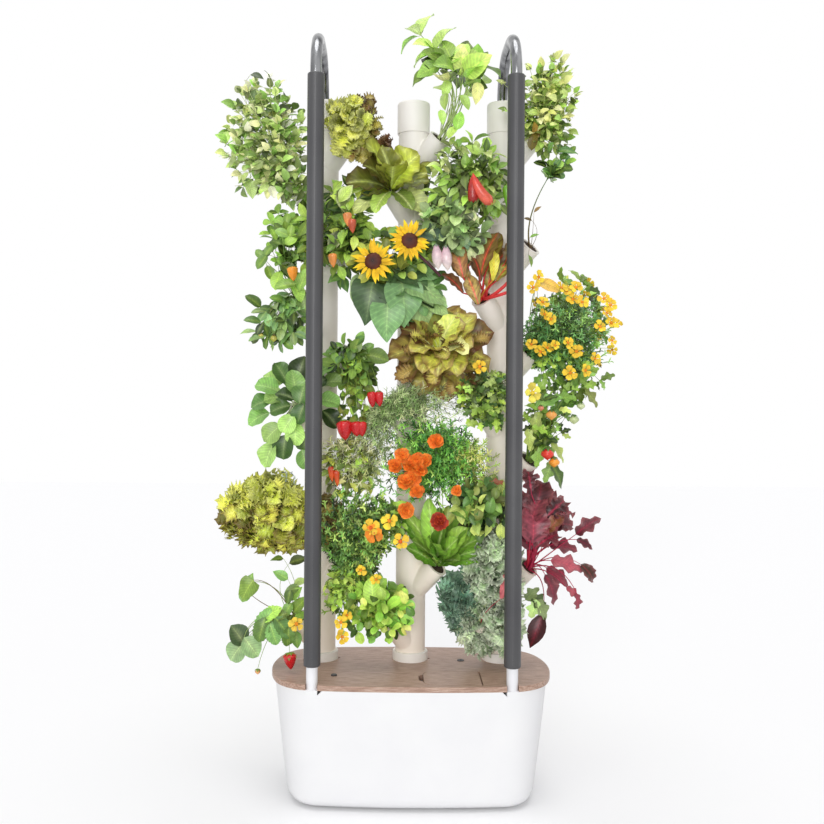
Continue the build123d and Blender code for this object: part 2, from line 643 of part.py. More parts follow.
# Net cup, drawn in the frame of a port's mouth
with BuildPart() as grow_cup:
    with BuildSketch(Plane.XZ):
        with BuildLine():
            Polyline(
                (CUP_DRAIN_RADIUS, -CUP_DEPTH),
                (CUP_FOOT_RADIUS, -CUP_DEPTH),
                (CUP_TOP_RADIUS, 0),
                (PORT_RADIUS + CUP_RIM_OVERHANG, 0),
                (PORT_RADIUS + CUP_RIM_OVERHANG, CUP_RIM),
                (CUP_TOP_RADIUS - CUP_WALL, CUP_RIM),
                (CUP_FOOT_RADIUS - CUP_WALL, CUP_FLOOR_Z),
                (CUP_DRAIN_RADIUS, CUP_FLOOR_Z),
                close=True,
            )
        make_face()
    revolve(axis=Axis.Z)
cups = [
    port_plane(side, column_x, COLUMN_Y, segment_foot(level)).location * grow_cup.part
    for column_x in COLUMNS.values()
    for level in range(1, SEGMENT_COUNT + 1)
    for side in PORT_TURN
]
export(group(cups), "grow_cups")

# Light arches: annular sweep from the tank rim, over the top, into the light bar
arch_axis_top = ARCH_TOP - TUBE_RADIUS
half_span = ARCH_SPACING_Y / 2
with BuildPart() as arch:
    with BuildLine() as arch_path:
        FilletPolyline(
            (0, half_span, LID_BOTTOM),
            (0, half_span, arch_axis_top),
            (0, -half_span, arch_axis_top),
            (0, -half_span, BAR_TOP - TUBE_INSERT),
            radius=ARCH_BEND,
        )
    with BuildSketch(Plane(origin=arch_path.line @ 0, z_dir=arch_path.line % 0)):
        Circle(TUBE_RADIUS)
        Circle(TUBE_RADIUS - TUBE_WALL, mode=Mode.SUBTRACT)
    sweep(path=arch_path.line)
arch_places = [side * ARCH_SPACING_X / 2 for side in (-1, 1)]
export(group(Pos(x) * arch.part for x in arch_places), "light_arches")

with BuildPart() as lower_post:
    with BuildSketch(Plane.XY.offset(LID_BOTTOM)):
        Circle(TUBE_RADIUS)
        Circle(TUBE_RADIUS - TUBE_WALL, mode=Mode.SUBTRACT)
    extrude(amount=BAR_BOTTOM + TUBE_INSERT - LID_BOTTOM)
export(group(Pos(*place) * lower_post.part for place in FRONT_PLACES), "lower_posts")

# Pins that hold the four tube ends in the tank rim
with BuildPart() as pole_pin:
    with BuildSketch(Plane.XY.offset(LID_BOTTOM)):
        Circle(TUBE_RADIUS - TUBE_WALL - SEAT_FIT)
    extrude(amount=TUBE_INSERT)
    with BuildSketch(Plane.XY.offset(LID_BOTTOM)):
        Circle(PIN_RADIUS)
    extrude(amount=-PIN_DEPTH)
export(group(Pos(*place) * pole_pin.part for place in TUBE_PLACES), "pole_pins")

# Light bars: a round housing with a crest in front and a lamp channel behind
bar_foot = BAR_BOTTOM + BAR_END_CAP
bar_length = BAR_TOP - BAR_BOTTOM - 2 * BAR_END_CAP
lens_foot = LED_CHANNEL_FLOOR + LED_BOARD_THICKNESS
with BuildPart() as light_housing:
    with BuildSketch(Plane.XY.offset(bar_foot)):
        Circle(BAR_RADIUS)
        Rectangle(CREST_WIDTH, BAR_RADIUS + CREST_PROUD, align=(Align.CENTER, Align.MAX))
        Circle(BAR_BORE, mode=Mode.SUBTRACT)
        with Locations((0, LED_CHANNEL_FLOOR)):
            Rectangle(
                LED_CHANNEL_WIDTH, BAR_RADIUS, align=(Align.CENTER, Align.MIN), mode=Mode.SUBTRACT
            )
    extrude(amount=bar_length)
export(group(Pos(*place) * light_housing.part for place in FRONT_PLACES), "light_housings")

with BuildPart() as led_board:
    with BuildSketch(Plane.XY.offset(bar_foot)):
        with Locations((0, LED_CHANNEL_FLOOR)):
            Rectangle(
                LED_CHANNEL_WIDTH - 2 * SEAT_FIT, LED_BOARD_THICKNESS, align=(Align.CENTER, Align.MIN)
            )
    extrude(amount=bar_length)
export(group(Pos(*place) * led_board.part for place in FRONT_PLACES), "led_boards")

with BuildPart() as light_lens:
    with BuildSketch(Plane.XY.offset(bar_foot)):
        Circle(BAR_RADIUS)
        with Locations((0, lens_foot)):
            Rectangle(
                LED_CHANNEL_WIDTH - 2 * SEAT_FIT,
                BAR_RADIUS,
                align=(Align.CENTER, Align.MIN),
                mode=Mode.INTERSECT,
            )
    extrude(amount=bar_length)
export(group(Pos(*place) * light_lens.part for place in FRONT_PLACES), "light_lenses")

with BuildPart() as end_cap:
    with BuildSketch():
        Circle(BAR_RADIUS)
        Circle(TUBE_RADIUS + SEAT_FIT, mode=Mode.SUBTRACT)
    extrude(amount=BAR_END_CAP)
    fillet(end_cap.faces().sort_by(Axis.Z)[-1].outer_wire().edges(), radius=BAR_END_ROUND)
upper_caps = [Pos(x, y, BAR_TOP - BAR_END_CAP) * end_cap.part for x, y in FRONT_PLACES]
lower_caps = [Pos(x, y, bar_foot) * Rot(180) * end_cap.part for x, y in FRONT_PLACES]
export(group(upper_caps + lower_caps), "light_end_caps")

# Plants: a rooted plug in the cup, a stem and a crown of leaves with flat facets
plug_top = CUP_TOP_RADIUS - CUP_WALL - LOOSE_FIT
plug_depth = CUP_DEPTH - CUP_WALL - SLIDE_FIT
plug_foot = plug_top - CUP_TAPER


def lobed_ring(radius):
    """Points of a closed ring of leaf lobes whose tips reach the radius."""
    ring = []
    for step in range(2 * CROWN_LOBES):
        bearing = step * pi / CROWN_LOBES
        length = radius * (1 - CROWN_LOBE_DEPTH * (step % 2))
        ring.append((length * cos(bearing), length * sin(bearing)))
    return ring


def make_plant(column, side, level, lean, reach, rise, radius, half_height, form="bush"):
    """One plant. The crown's axis lies at the reach from the column's axis, turned by the lean
    from the front, and its middle is the rise above the port's mouth."""
    mouth = port_plane(side, COLUMNS[column], COLUMN_Y, segment_foot(level))
    turn = radians(lean)
    middle = Vector(
        COLUMNS[column] + reach * sin(turn), COLUMN_Y - reach * cos(turn), mouth.origin.Z + rise
    )
    stem = middle - mouth.origin
    with BuildPart() as plant:
        for height, spread in CROWN_FORMS[form]:
            with BuildSketch(Plane(origin=middle + Vector(0, 0, height * half_height))):
                Polygon(*lobed_ring(spread * radius), align=None)
        loft(ruled=True)
        with BuildSketch(mouth.offset(CUP_RIM + CROWN_CLEARANCE)):
            Circle(PORT_RADIUS + CUP_RIM_OVERHANG + CROWN_CLEARANCE)
        extrude(amount=-port_length, mode=Mode.SUBTRACT)
        with BuildSketch(Plane(origin=mouth.origin, z_dir=stem)):
            Circle(STEM_RADIUS)
        extrude(amount=stem.length)
        with BuildSketch(mouth):
            Circle(plug_top)
        with BuildSketch(mouth.offset(-plug_depth)):
            Circle(plug_foot)
        loft()
    return plant.part


# Left column
plants = {
    "oregano_left_outer_1": ("left", "left", 1, -65, 120, 112, 72, 138),
    "oak_lettuce_left_inner_1": ("left", "right", 1, 50, 96, 42, 50, 50, "rosette"),
    "ground_cherry_left_outer_2": ("left", "left", 2, -65, 116, 55, 62, 80),
    "orange_pepper_left_inner_2": ("left", "right", 2, 50, 92, 45, 48, 50),
    "pak_choi_left_outer_3": ("left", "left", 3, -70, 118, 15, 68, 78),
    "strawberry_left_inner_3": ("left", "right", 3, 50, 92, 45, 48, 50),
    "curly_lettuce_left_outer_4": ("left", "left", 4, -72, 150, 15, 96, 58, "rosette"),
    "chili_left_inner_4": ("left", "right", 4, 50, 92, 44, 47, 50),
    "strawberry_left_outer_5": ("left", "left", 5, -75, 152, 22, 94, 88),
    "marigold_left_inner_5": ("left", "right", 5, 50, 92, 42, 48, 50),
}

# Centre column
plants |= {
    "romaine_centre_left_1": ("centre", "left", 1, -45, 88, 30, 44, 46, "rosette"),
    "basil_centre_right_1": ("centre", "right", 1, 54, 120, 128, 68, 140),
    "sunflower_centre_left_2": ("centre", "left", 2, -45, 92, 48, 48, 52),
    "eggplant_centre_right_2": ("centre", "right", 2, 50, 90, 36, 44, 44),
    "dill_centre_left_3": ("centre", "left", 3, -45, 92, 48, 46, 50),
    "red_lettuce_centre_right_3": ("centre", "right", 3, 50, 92, 32, 48, 38, "rosette"),
    "viola_centre_left_4": ("centre", "left", 4, -45, 92, 45, 46, 48),
    "marigold_centre_right_4": ("centre", "right", 4, 50, 92, 45, 48, 50),
    "lamb_lettuce_centre_left_5": ("centre", "left", 5, -45, 92, 40, 48, 48),
    "romaine_centre_right_5": ("centre", "right", 5, 50, 88, 40, 44, 46, "rosette"),
}

# Right column
plants |= {
    "chili_right_inner_1": ("right", "left", 1, -45, 92, 30, 46, 40),
    "mint_right_outer_1": ("right", "right", 1, 65, 118, 48, 62, 132),
    "chard_right_inner_2": ("right", "left", 2, -45, 88, 32, 40, 38, "rosette"),
    "thyme_right_outer_2": ("right", "right", 2, 60, 96, 25, 44, 46),
    "parsley_right_inner_3": ("right", "left", 3, -45, 92, 45, 46, 48),
    "signet_marigold_right_outer_3": ("right", "right", 3, 72, 150, 58, 100, 108),
    "spinach_right_inner_4": ("right", "left", 4, -45, 92, 45, 46, 48),
    "tomato_right_outer_4": ("right", "right", 4, 68, 140, 62, 84, 88),
    "kale_right_inner_5": ("right", "left", 5, -45, 88, 54, 44, 40, "rosette"),
    "beet_right_outer_5": ("right", "right", 5, 68, 135, 72, 80, 104),
}
for name, growth in plants.items():
    export(make_plant(*growth), name)
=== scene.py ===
"""Looks of the hydroponic tower: camera, light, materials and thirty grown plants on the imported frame."""

import json
import math
import random
from collections import namedtuple

import bpy
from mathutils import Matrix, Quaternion, Vector


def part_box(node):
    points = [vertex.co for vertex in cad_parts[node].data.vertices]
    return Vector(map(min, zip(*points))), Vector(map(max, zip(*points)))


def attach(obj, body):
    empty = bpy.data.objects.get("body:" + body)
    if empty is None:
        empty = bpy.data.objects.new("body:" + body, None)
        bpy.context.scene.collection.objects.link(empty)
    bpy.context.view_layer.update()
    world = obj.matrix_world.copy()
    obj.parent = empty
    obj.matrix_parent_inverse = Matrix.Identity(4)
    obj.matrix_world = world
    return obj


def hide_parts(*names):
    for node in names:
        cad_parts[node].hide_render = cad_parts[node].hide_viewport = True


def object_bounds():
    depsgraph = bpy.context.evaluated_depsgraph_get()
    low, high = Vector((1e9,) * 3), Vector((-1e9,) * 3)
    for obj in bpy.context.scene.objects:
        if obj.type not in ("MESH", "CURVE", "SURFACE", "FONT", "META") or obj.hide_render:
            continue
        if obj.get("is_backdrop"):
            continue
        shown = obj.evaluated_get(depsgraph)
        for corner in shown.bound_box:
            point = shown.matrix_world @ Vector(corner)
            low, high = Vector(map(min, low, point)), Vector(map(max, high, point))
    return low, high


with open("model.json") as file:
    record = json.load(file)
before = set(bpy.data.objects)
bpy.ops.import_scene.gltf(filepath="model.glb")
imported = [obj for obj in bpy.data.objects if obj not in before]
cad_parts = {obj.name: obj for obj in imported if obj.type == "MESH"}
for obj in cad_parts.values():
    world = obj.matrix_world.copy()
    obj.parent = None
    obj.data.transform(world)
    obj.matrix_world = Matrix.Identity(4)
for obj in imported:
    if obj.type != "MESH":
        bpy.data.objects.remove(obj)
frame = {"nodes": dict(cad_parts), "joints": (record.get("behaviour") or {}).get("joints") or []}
cad_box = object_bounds()

MM = 0.001

# Camera: in front of the tank, looking level, with the horizon above the middle of the picture
CAMERA_PLACE = (-0.0545, -2.159, 0.902)
CAMERA_LENS = 43.3
CAMERA_SHIFT_X = 0.0296
CAMERA_SHIFT_Y = -0.045
CAMERA_ROLL = 0.4

# Planting ports, as on the columns
PORT_REACH = 68 * MM
PORT_HEIGHT = {"left": 76 * MM, "right": 193 * MM}
SEGMENT_COUNT = 5
PLUG_RADIUS = 19.3 * MM
PLUG_FOOT_RADIUS = 15.4 * MM
PLUG_DEPTH = 39.5 * MM
PLUG_SIDES = 24

# Kinds of plant tissue, each with a material of its own
LEAF, STEM, FRUIT, PETAL, SOIL = range(5)

# Leaves turn to the light bars in front of the columns
LIGHT_SIDE = Vector((0, -0.75, 0.66))
UP = Vector((0, 0, 1))
GOLDEN_ANGLE = math.radians(137.5)

# Full-grown leaves on long stalks, against the sizes given for them
FULL_LEAF = 1.12

LeafForm = namedtuple("LeafForm", "outline rows columns cup droop ripple waves")


def srgb(red, green, blue):
    """Linear colour of a display colour given in 0 to 255."""
    def linear(value):
        share = value / 255
        return share / 12.92 if share <= 0.04045 else ((share + 0.055) / 1.055) ** 2.4
    return (linear(red), linear(green), linear(blue))


def mix(first, second, share):
    """Colour between two colours."""
    return tuple(a + (b - a) * share for a, b in zip(first, second))


def scaled(colour, factor):
    """Colour made lighter or darker."""
    return tuple(min(1.0, value * factor) for value in colour)


# Plant meshes


class Sprout:
    """Mesh of one plant while it grows, with places in metres."""

    def __init__(self, mouth, out, seed):
        self.mouth = mouth
        self.out = out
        self.random = random.Random(seed)
        self.points = []
        self.faces = []
        self.kinds = []
        self.tints = []
        self.places = []

    def at(self, dx, dy, dz):
        """Point in millimetres from the middle of the port's mouth: across and up as the camera
        sees it, then brought nearer or further along the line of sight."""
        flat = self.mouth + Vector((dx, 0, dz)) * MM
        sight = flat - Vector(CAMERA_PLACE)
        return flat + sight * (dy * MM / sight.y)

    def within(self, centre, radii, count, inner=0.45):
        """Points spread through an egg-shaped room, in millimetres from the mouth."""
        spots = []
        for step in range(count):
            height = 1 - 2 * (step + 0.5) / count
            bearing = step * GOLDEN_ANGLE + self.random.uniform(-0.3, 0.3)
            ring = math.sqrt(1 - height * height)
            depth = self.random.uniform(inner ** 3, 1.0) ** (1 / 3)
            spots.append(self.at(
                centre[0] + radii[0] * depth * ring * math.cos(bearing),
                centre[1] + radii[1] * depth * ring * math.sin(bearing),
                centre[2] + radii[2] * depth * height,
            ))
        return spots

    def around(self, direction, spread):
        """Direction turned off another one by up to a share of its length."""
        off = Vector((self.random.uniform(-1, 1), self.random.uniform(-1, 1), self.random.uniform(-1, 1)))
        return (direction + off * spread).normalized()

    def grid(self, rows, tints, places, kind, closed=False):
        """Faces over rows of points; closed rows join their ends."""
        first = len(self.points)
        width = len(rows[0])
        for row, tint_row, place_row in zip(rows, tints, places):
            self.points.extend(row)
            self.tints.extend(tint_row)
            self.places.extend(place_row)
        for row in range(len(rows) - 1):
            for column in range(width if closed else width - 1):
                a = first + row * width + column
                b = first + row * width + (column + 1) % width
                self.faces.append((a, b, b + width, a + width))
                self.kinds.append(kind)


def square_to(direction):
    """Some unit vector square to a direction."""
    hint = UP if abs(direction.z) < 0.9 else Vector((1, 0, 0))
    return direction.cross(hint).normalized()


def curve(start, bend, end, steps):
    """Points of a parabola from start to end, drawn towards bend."""
    points = []
    for step in range(steps + 1):
        t = step / steps
        points.append(start * (1 - t) ** 2 + bend * (2 * t * (1 - t)) + end * t ** 2)
    return points


def tube(plant, path, radii, tint, kind=STEM, sides=6, end_tint=None):
    """Round skin along a path, with a radius for each point."""
    side = square_to((path[1] - path[0]).normalized())
    rows, tints, places = [], [], []
    for step, point in enumerate(path):
        ahead = path[min(step + 1, len(path) - 1)] - path[max(step - 1, 0)]
        ahead.normalize()
        side = (side - ahead * side.dot(ahead)).normalized()
        other = ahead.cross(side)
        t = step / (len(path) - 1)
        colour = mix(tint, end_tint, t) if end_tint else tint
        row = []
        for corner in range(sides):
            angle = 2 * math.pi * corner / sides
            row.append(point + (side * math.cos(angle) + other * math.sin(angle)) * radii[step])
        rows.append(row)
        tints.append([colour] * sides)
        places.append([(t, corner / sides, 0) for corner in range(sides)])
    plant.grid(rows, tints, places, kind, closed=True)


def stalk(plant, path, radius, tint, end_tint=None, sides=5):
    """Stem that tapers along its path."""
    last = len(path) - 1
    radii = [radius * (1 - 0.55 * step / last) for step in range(last + 1)]
    tube(plant, path, radii, tint, STEM, sides, end_tint)


def blade(plant, base, aim, face, length, width, form, shade, kind=LEAF, twist=0.0):
    """Leaf or petal: a curved sheet from its base along aim, whose upper side looks towards face."""
    side = aim.cross(face)
    if side.length < 1e-4:
        side = square_to(aim)
    side.normalize()
    step_length = length / form.rows
    turn = Quaternion(side, -form.droop / form.rows)
    phase = plant.random.uniform(0, 2 * math.pi)
    tone = plant.random.uniform(0, 1)
    heading = aim.copy()
    point = base.copy()
    rows, tints, places = [], [], []
    for row in range(form.rows + 1):
        t = row / form.rows
        half = width / 2 * max(form.outline(t), 0.03)
        across = Quaternion(heading, twist * t) @ side
        lift = across.cross(heading)
        row_points, row_tints, row_places = [], [], []
        for column in range(form.columns + 1):
            s = 2 * column / form.columns - 1
            edge = abs(s)
            wave = math.sin(2 * math.pi * form.waves * t + phase + (2.1 if s > 0 else 0))
            rise = form.cup * half * edge ** 1.5 + form.ripple * width * wave * edge * edge * min(1,
                                                                                                  3 * t)
            row_points.append(point + across * (s * half) + lift * rise)
            row_tints.append(shade(t, edge))
            row_places.append((t, edge, tone))
        rows.append(row_points)
        tints.append(row_tints)
        places.append(row_places)
        point = point + heading * step_length
        heading = turn @ heading
    plant.grid(rows, tints, places, kind)


# Outlines: half width of a leaf along its length, as a share of the widest


def ovate(t):
    return math.sin(math.pi * t ** 0.72) ** 0.9


def oval(t):
    return math.sin(math.pi * t ** 0.95) ** 0.62


def spoon(t):
    return math.sin(math.pi * t ** 1.7) ** 0.62


def lance(t):
    return math.sin(math.pi * t ** 0.85) ** 1.15


def heart(t):
    return math.sin(math.pi * (0.16 + 0.84 * t) ** 0.62) ** 0.95


def paddle(t):
    return 0.22 + 0.78 * math.sin(math.pi * t ** 1.35) ** 0.8 if t < 0.98 else 0.1


def oak(t):
    swell = 0.25 + 0.75 * math.sin(math.pi * t ** 1.3) ** 0.8
    return swell * (0.72 + 0.28 * math.cos(2 * math.pi * 3.2 * t))


def frilled(t):
    swell = 0.3 + 0.7 * math.sin(math.pi * t ** 1.2) ** 0.75
    return swell * (0.82 + 0.18 * math.cos(2 * math.pi * 6 * t))


def toothed(t):
    return math.sin(math.pi * t ** 0.9) ** 0.62 * (0.93 + 0.07 * math.cos(2 * math.pi * 7 * t))


def lobed(t):
    return math.sin(math.pi * t ** 0.8) ** 0.8 * (0.75 + 0.25 * math.cos(2 * math.pi * 2.5 * (t - 0.1)))


def strap(t):
    return math.sin(math.pi * (0.1 + 0.86 * t)) ** 0.5


SMALL_LEAF = LeafForm(ovate, 6, 4, 0.25, 0.7, 0.02, 1.5)
BASIL_LEAF = LeafForm(ovate, 9, 6, 0.35, 1.0, 0.03, 2.0)
ROUND_LEAF = LeafForm(oval, 7, 4, 0.25, 0.6, 0.03, 1.5)
LONG_LEAF = LeafForm(lance, 7, 4, 0.25, 0.9, 0.03, 2.0)
HEART_LEAF = LeafForm(heart, 10, 6, 0.2, 0.8, 0.05, 2.0)
PAK_LEAF = LeafForm(oval, 9, 6, 0.3, 0.9, 0.05, 2.0)
TOOTHED_LEAF = LeafForm(toothed, 28, 6, 0.2, 0.7, 0.03, 2.5)
LOBED_LEAF = LeafForm(lobed, 12, 4, 0.2, 0.9, 0.05, 2.5)
ROMAINE_LEAF = LeafForm(paddle, 14, 8, 0.3, 0.9, 0.07, 4.0)
BROAD_LEAF = LeafForm(oval, 14, 8, 0.3, 1.4, 0.09, 4.0)
OAK_LEAF = LeafForm(oak, 20, 8, 0.25, 1.3, 0.14, 5.0)
FRILLED_LEAF = LeafForm(frilled, 26, 10, 0.2, 1.3, 0.15, 7.0)
CURLED_LEAF = LeafForm(frilled, 18, 6, 0.2, 1.6, 0.26, 5.0)
THREAD = LeafForm(strap, 3, 1, 0.0, 0.5, 0.0, 1.0)
RAY_PETAL = LeafForm(lance, 5, 2, 0.25, 0.35, 0.02, 1.0)
ROUND_PETAL = LeafForm(spoon, 5, 4, 0.25, 0.5, 0.08, 2.0)


def tinted(body, rib=None, margin=None, tip=None, depth=3.0, mottle=None, heavy=False, phase=0.0):
    """Colours over a leaf: a body with an optional rib, margin, tip and mottling."""
    def shade(t, edge):
        colour = scaled(body, 0.86 + 0.26 * t)
        if mottle:
            cloud = math.sin(17 * t + 5 * edge + phase) * math.sin(9 * t - 11 * edge + 2 * phase)
            colour = mix(colour, mottle, 0.75 * max(0, 0.25 + cloud))
        if margin:
            colour = mix(colour, margin, 0.85 * max(edge ** depth * min(1, 3 * t), t ** (2 * depth)))
        if tip:
            colour = mix(colour, tip, max(0, 4 * t - 3))
        if rib:
            narrow = max(0, 1 - 4.5 * edge) * (1 - 0.6 * t)
            colour = mix(colour, rib, narrow if heavy else 0.35 * narrow)
        return colour
    return shade


def varied(plant, shades, **details):
    """Leaf colours somewhere between the given shades, scaled lighter or darker at random: partly the
    leaves' own tone and partly painted light and shade, some leaves painted as lit and some as shaded.
    """
    body = mix(plant.random.choice(shades), plant.random.choice(shades), plant.random.random())
    # Painted light and shade: a random scale that darkens some leaves as if shaded and lightens others as
    # if lit.
    tone = plant.random.uniform(*LEAF_LIGHT_AND_SHADE_SCALE)
    return tinted(scaled(body, tone), phase=plant.random.uniform(0, 6), **details)


# Ways of growing


def plug(plant):
    """Dark growing medium in the cup, with a crumbly top."""
    side = square_to(plant.out)
    other = plant.out.cross(side)
    middle_radius = (PLUG_RADIUS + PLUG_FOOT_RADIUS) / 2
    sections = [(-PLUG_DEPTH, 0.02 * MM), (-PLUG_DEPTH, PLUG_FOOT_RADIUS),
                (-PLUG_DEPTH / 2, middle_radius)]
    sections += [(0, PLUG_RADIUS * share) for share in (1.0, 0.82, 0.62, 0.4, 0.2, 0.02)]
    rows, tints, places = [], [], []
    for height, radius in sections:
        row, tint_row, place_row = [], [], []
        for corner in range(PLUG_SIDES):
            angle = 2 * math.pi * corner / PLUG_SIDES
            crumbly = height == 0 and radius < 0.9 * PLUG_RADIUS
            crumb = plant.random.uniform(-0.2, 1.6) * MM if crumbly else 0
            spoke = side * math.cos(angle) + other * math.sin(angle)
            row.append(plant.mouth + plant.out * (height + crumb) + spoke * radius)
            tint_row.append(scaled(srgb(74, 56, 42), plant.random.uniform(0.6, 1.2)))
            place_row.append((corner / PLUG_SIDES, height, 0))
        rows.append(row)
        tints.append(tint_row)
        places.append(place_row)
    plant.grid(rows, tints, places, SOIL, closed=True)


def root_of(plant, spread=9.0):
    """Place near the middle of the plug where a stem comes out."""
    side = square_to(plant.out)
    other = plant.out.cross(side)
    angle = plant.random.uniform(0, 2 * math.pi)
    reach = spread * MM * math.sqrt(plant.random.random())
    return plant.mouth + (side * math.cos(angle) + other * math.sin(angle)) * reach - plant.out * 2 * MM


def stem_path(plant, tip, rise=0.45, root=None, steps=12):
    """Path of a stem that leaves along the port and bends to its tip."""
    root = root or root_of(plant)
    span = (tip - root).length
    return curve(root, root + plant.out * span * rise, tip, steps)


def along_path(path, t):
    """Place at a share of a path, and the direction there."""
    last = len(path) - 1
    spot = min(int(t * last), last - 1)
    place = path[spot].lerp(path[spot + 1], t * last - spot)
    return place, (path[spot + 1] - path[spot]).normalized()


def leaf_at(plant, place, along, bearing, size, ratio, form, shade, lean, stem_tint):
    """One leaf on a short petiole, standing off a stem that runs along a direction."""
    outward = Quaternion(along, bearing) @ square_to(along)
    aim = plant.around(outward + along * lean, 0.25)
    length = size * MM * plant.random.uniform(0.8, 1.35)
    foot = place + aim * length * 0.12
    tube(plant, [place, foot], [0.6 * MM, 0.5 * MM], stem_tint, STEM, 4)
    blade(plant, foot, aim, plant.around(LIGHT_SIDE, 0.7), length, length * ratio, form, shade)


def shoots(plant, tips, form, size, ratio, shades, stem_tint, pairs=3, start=0.6, radius=1.1,
           rise=0.45, lean=0.5, tip_size=0.8, root=None, **details):
    """Leafy stems to each tip, with leaves in crossed pairs."""
    for tip in tips:
        path = stem_path(plant, tip, rise, root)
        stalk(plant, path, radius * MM, stem_tint, scaled(shades[0], 0.9))
        for pair in range(pairs):
            t = start + (1 - start) * pair / max(1, pairs - 1)
            place, along = along_path(path, t)
            turn = pair * math.pi / 2 + plant.random.uniform(-0.4, 0.4)
            grown_size = size * (1 - (1 - tip_size) * t)
            for half in (0, math.pi):
                shade = varied(plant, shades, **details)
                leaf_at(plant, place, along, turn + half, grown_size, ratio, form, shade, lean, stem_tint)
        blade(plant, tip, (path[-1] - path[-2]).normalized(), plant.around(LIGHT_SIDE, 0.5),
              size * tip_size * MM, size * tip_size * ratio * MM, form, varied(plant, shades, **details))


def bush(plant, centre, radii, count, *leaf, inner=0.2, **details):
    """Leafy stems whose tips fill an egg-shaped room."""
    shoots(plant, plant.within(centre, radii, count, inner), *leaf, **details)


def leaves(plant, spots, form, ratio, shades, stem_tint, radius=1.3, turn=0.25, **details):
    """Single leaves on long stalks. Each spot gives the middle of a leaf in millimetres from the
    mouth, its length, and the way it points: degrees clockwise from upwards, seen from the front."""
    for dx, dy, dz, size, bearing in spots:
        size *= FULL_LEAF
        angle = math.radians(bearing)
        aim = plant.around(Vector((math.sin(angle), -0.25, math.cos(angle))), 0.12)
        foot = plant.at(dx, dy, dz) - aim * size / 2 * MM
        root = root_of(plant)
        span = (foot - root).length
        bend = (root + plant.out * span * 0.6 + foot - aim * span * 0.5) / 2
        stalk(plant, curve(root, bend, foot, 10), radius * MM, stem_tint)
        blade(plant, foot, aim, plant.around(LIGHT_SIDE, turn), size * MM, size * ratio * MM, form,
              varied(plant, shades, **details), twist=plant.random.uniform(-0.35, 0.35))


def fan(plant, tips, form, shades, droop=None, depth=2.0, **details):
    """Broad leaves that rise from one foot to given tips, each with its own width."""
    foot = plant.mouth + plant.out * 3 * MM
    bent = form._replace(droop=droop) if droop else form
    for dx, dy, dz, width in tips:
        tip = plant.at(dx, dy, dz)
        start = foot + (tip - foot).normalized() * 4 * MM
        aim = Quaternion((tip - start).cross(LIGHT_SIDE).normalized(), bent.droop * 0.4) @ (tip - start)
        length = (tip - start).length * 1.08
        shade = varied(plant, shades, depth=depth, heavy=True, **details)
        blade(plant, start, aim.normalized(), plant.around(LIGHT_SIDE, 0.2), length, width * MM, bent,
              shade, twist=plant.random.uniform(-0.3, 0.3))


def frills(plant, centre, radii, count, length, ratio, form, shades, margin=None, low_margin=None,
           **details):
    """Head of curled leaves whose tips fill an egg-shaped room, with another margin lower down."""
    middle = plant.at(*centre).lerp(plant.mouth, 0.25)
    for tip in plant.within(centre, radii, count, 0.5):
        reach = tip - middle
        aim = plant.around(reach.normalized() + Vector((0, -0.35, 0.1)), 0.3)
        size = length * MM * plant.random.uniform(0.75, 1.25)
        edge = low_margin if low_margin and reach.z < 0.1 * radii[2] * MM else margin
        shade = varied(plant, shades, margin=edge, depth=2.2, **details)
        foot = tip - aim * size * 0.8
        stalk(plant, curve(plant.mouth, middle, foot, 6), 1.4 * MM, CREAM_GREEN, sides=4)
        blade(plant, foot, aim, plant.around(LIGHT_SIDE, 0.6), size, size * ratio, form, shade,
              twist=plant.random.uniform(-0.7, 0.7))


def fronds(plant, tips, shades, stem_tint, branches=11, length=26.0, width=1.6, threads=5, radius=0.9,
           start=0.45):
    """Feathery stems: side branches that carry fine threads."""
    for tip in tips:
        path = stem_path(plant, tip)
        stalk(plant, path, radius * MM, stem_tint, sides=4)
        for branch in range(branches):
            t = start + (1 - start) * branch / (branches - 1)
            place, along = along_path(path, t)
            outward = Quaternion(along, branch * GOLDEN_ANGLE) @ square_to(along)
            aim = plant.around(outward + along * 0.7, 0.25)
            reach = length * MM * (1 - 0.45 * t) * plant.random.uniform(0.75, 1.25)
            shade = varied(plant, shades)
            blade(plant, place, aim, plant.around(LIGHT_SIDE, 0.5), reach, width * MM, THREAD, shade)
            for thread in range(threads):
                share = (thread + 1) / (threads + 1)
                spoke = Quaternion(aim, thread * 2.4) @ square_to(aim)
                heading = (aim * 0.8 + spoke).normalized()
                blade(plant, place + aim * reach * share, heading, LIGHT_SIDE,
                      reach * 0.6 * (1 - 0.5 * share), width * 0.8 * MM, THREAD, shade)


def feathers(plant, centre, radii, count, shades, stem_tint, inner=0.2, **sizes):
    """Feathery stems whose tips fill an egg-shaped room."""
    fronds(plant, plant.within(centre, radii, count, inner), shades, stem_tint, **sizes)


# Flowers and fruit

DISC_RINGS = 5
DISC_SIDES = 14
FRUIT_SIDES = 14


def disc(plant, centre, facing, radius, tint, rim_tint, bulge=0.5):
    """Domed middle of a flower."""
    side = square_to(facing)
    other = facing.cross(side)
    rows, tints, places = [], [], []
    for ring in range(DISC_RINGS + 1):
        share = 1 - ring / DISC_RINGS
        row, tint_row, place_row = [], [], []
        for corner in range(DISC_SIDES):
            angle = 2 * math.pi * corner / DISC_SIDES + ring * 0.22
            grain = plant.random.uniform(0.94, 1.06)
            reach = radius * max(share, 0.02) * grain
            height = radius * bulge * math.sqrt(max(0.0, 1 - share * share)) * grain
            spoke = side * math.cos(angle) + other * math.sin(angle)
            row.append(centre + spoke * reach + facing * height)
            tint_row.append(scaled(mix(tint, rim_tint, share), plant.random.uniform(0.8, 1.2)))
            place_row.append((share, corner / DISC_SIDES, 0))
        rows.append(row)
        tints.append(tint_row)
        places.append(place_row)
    plant.grid(rows, tints, places, PETAL, closed=True)


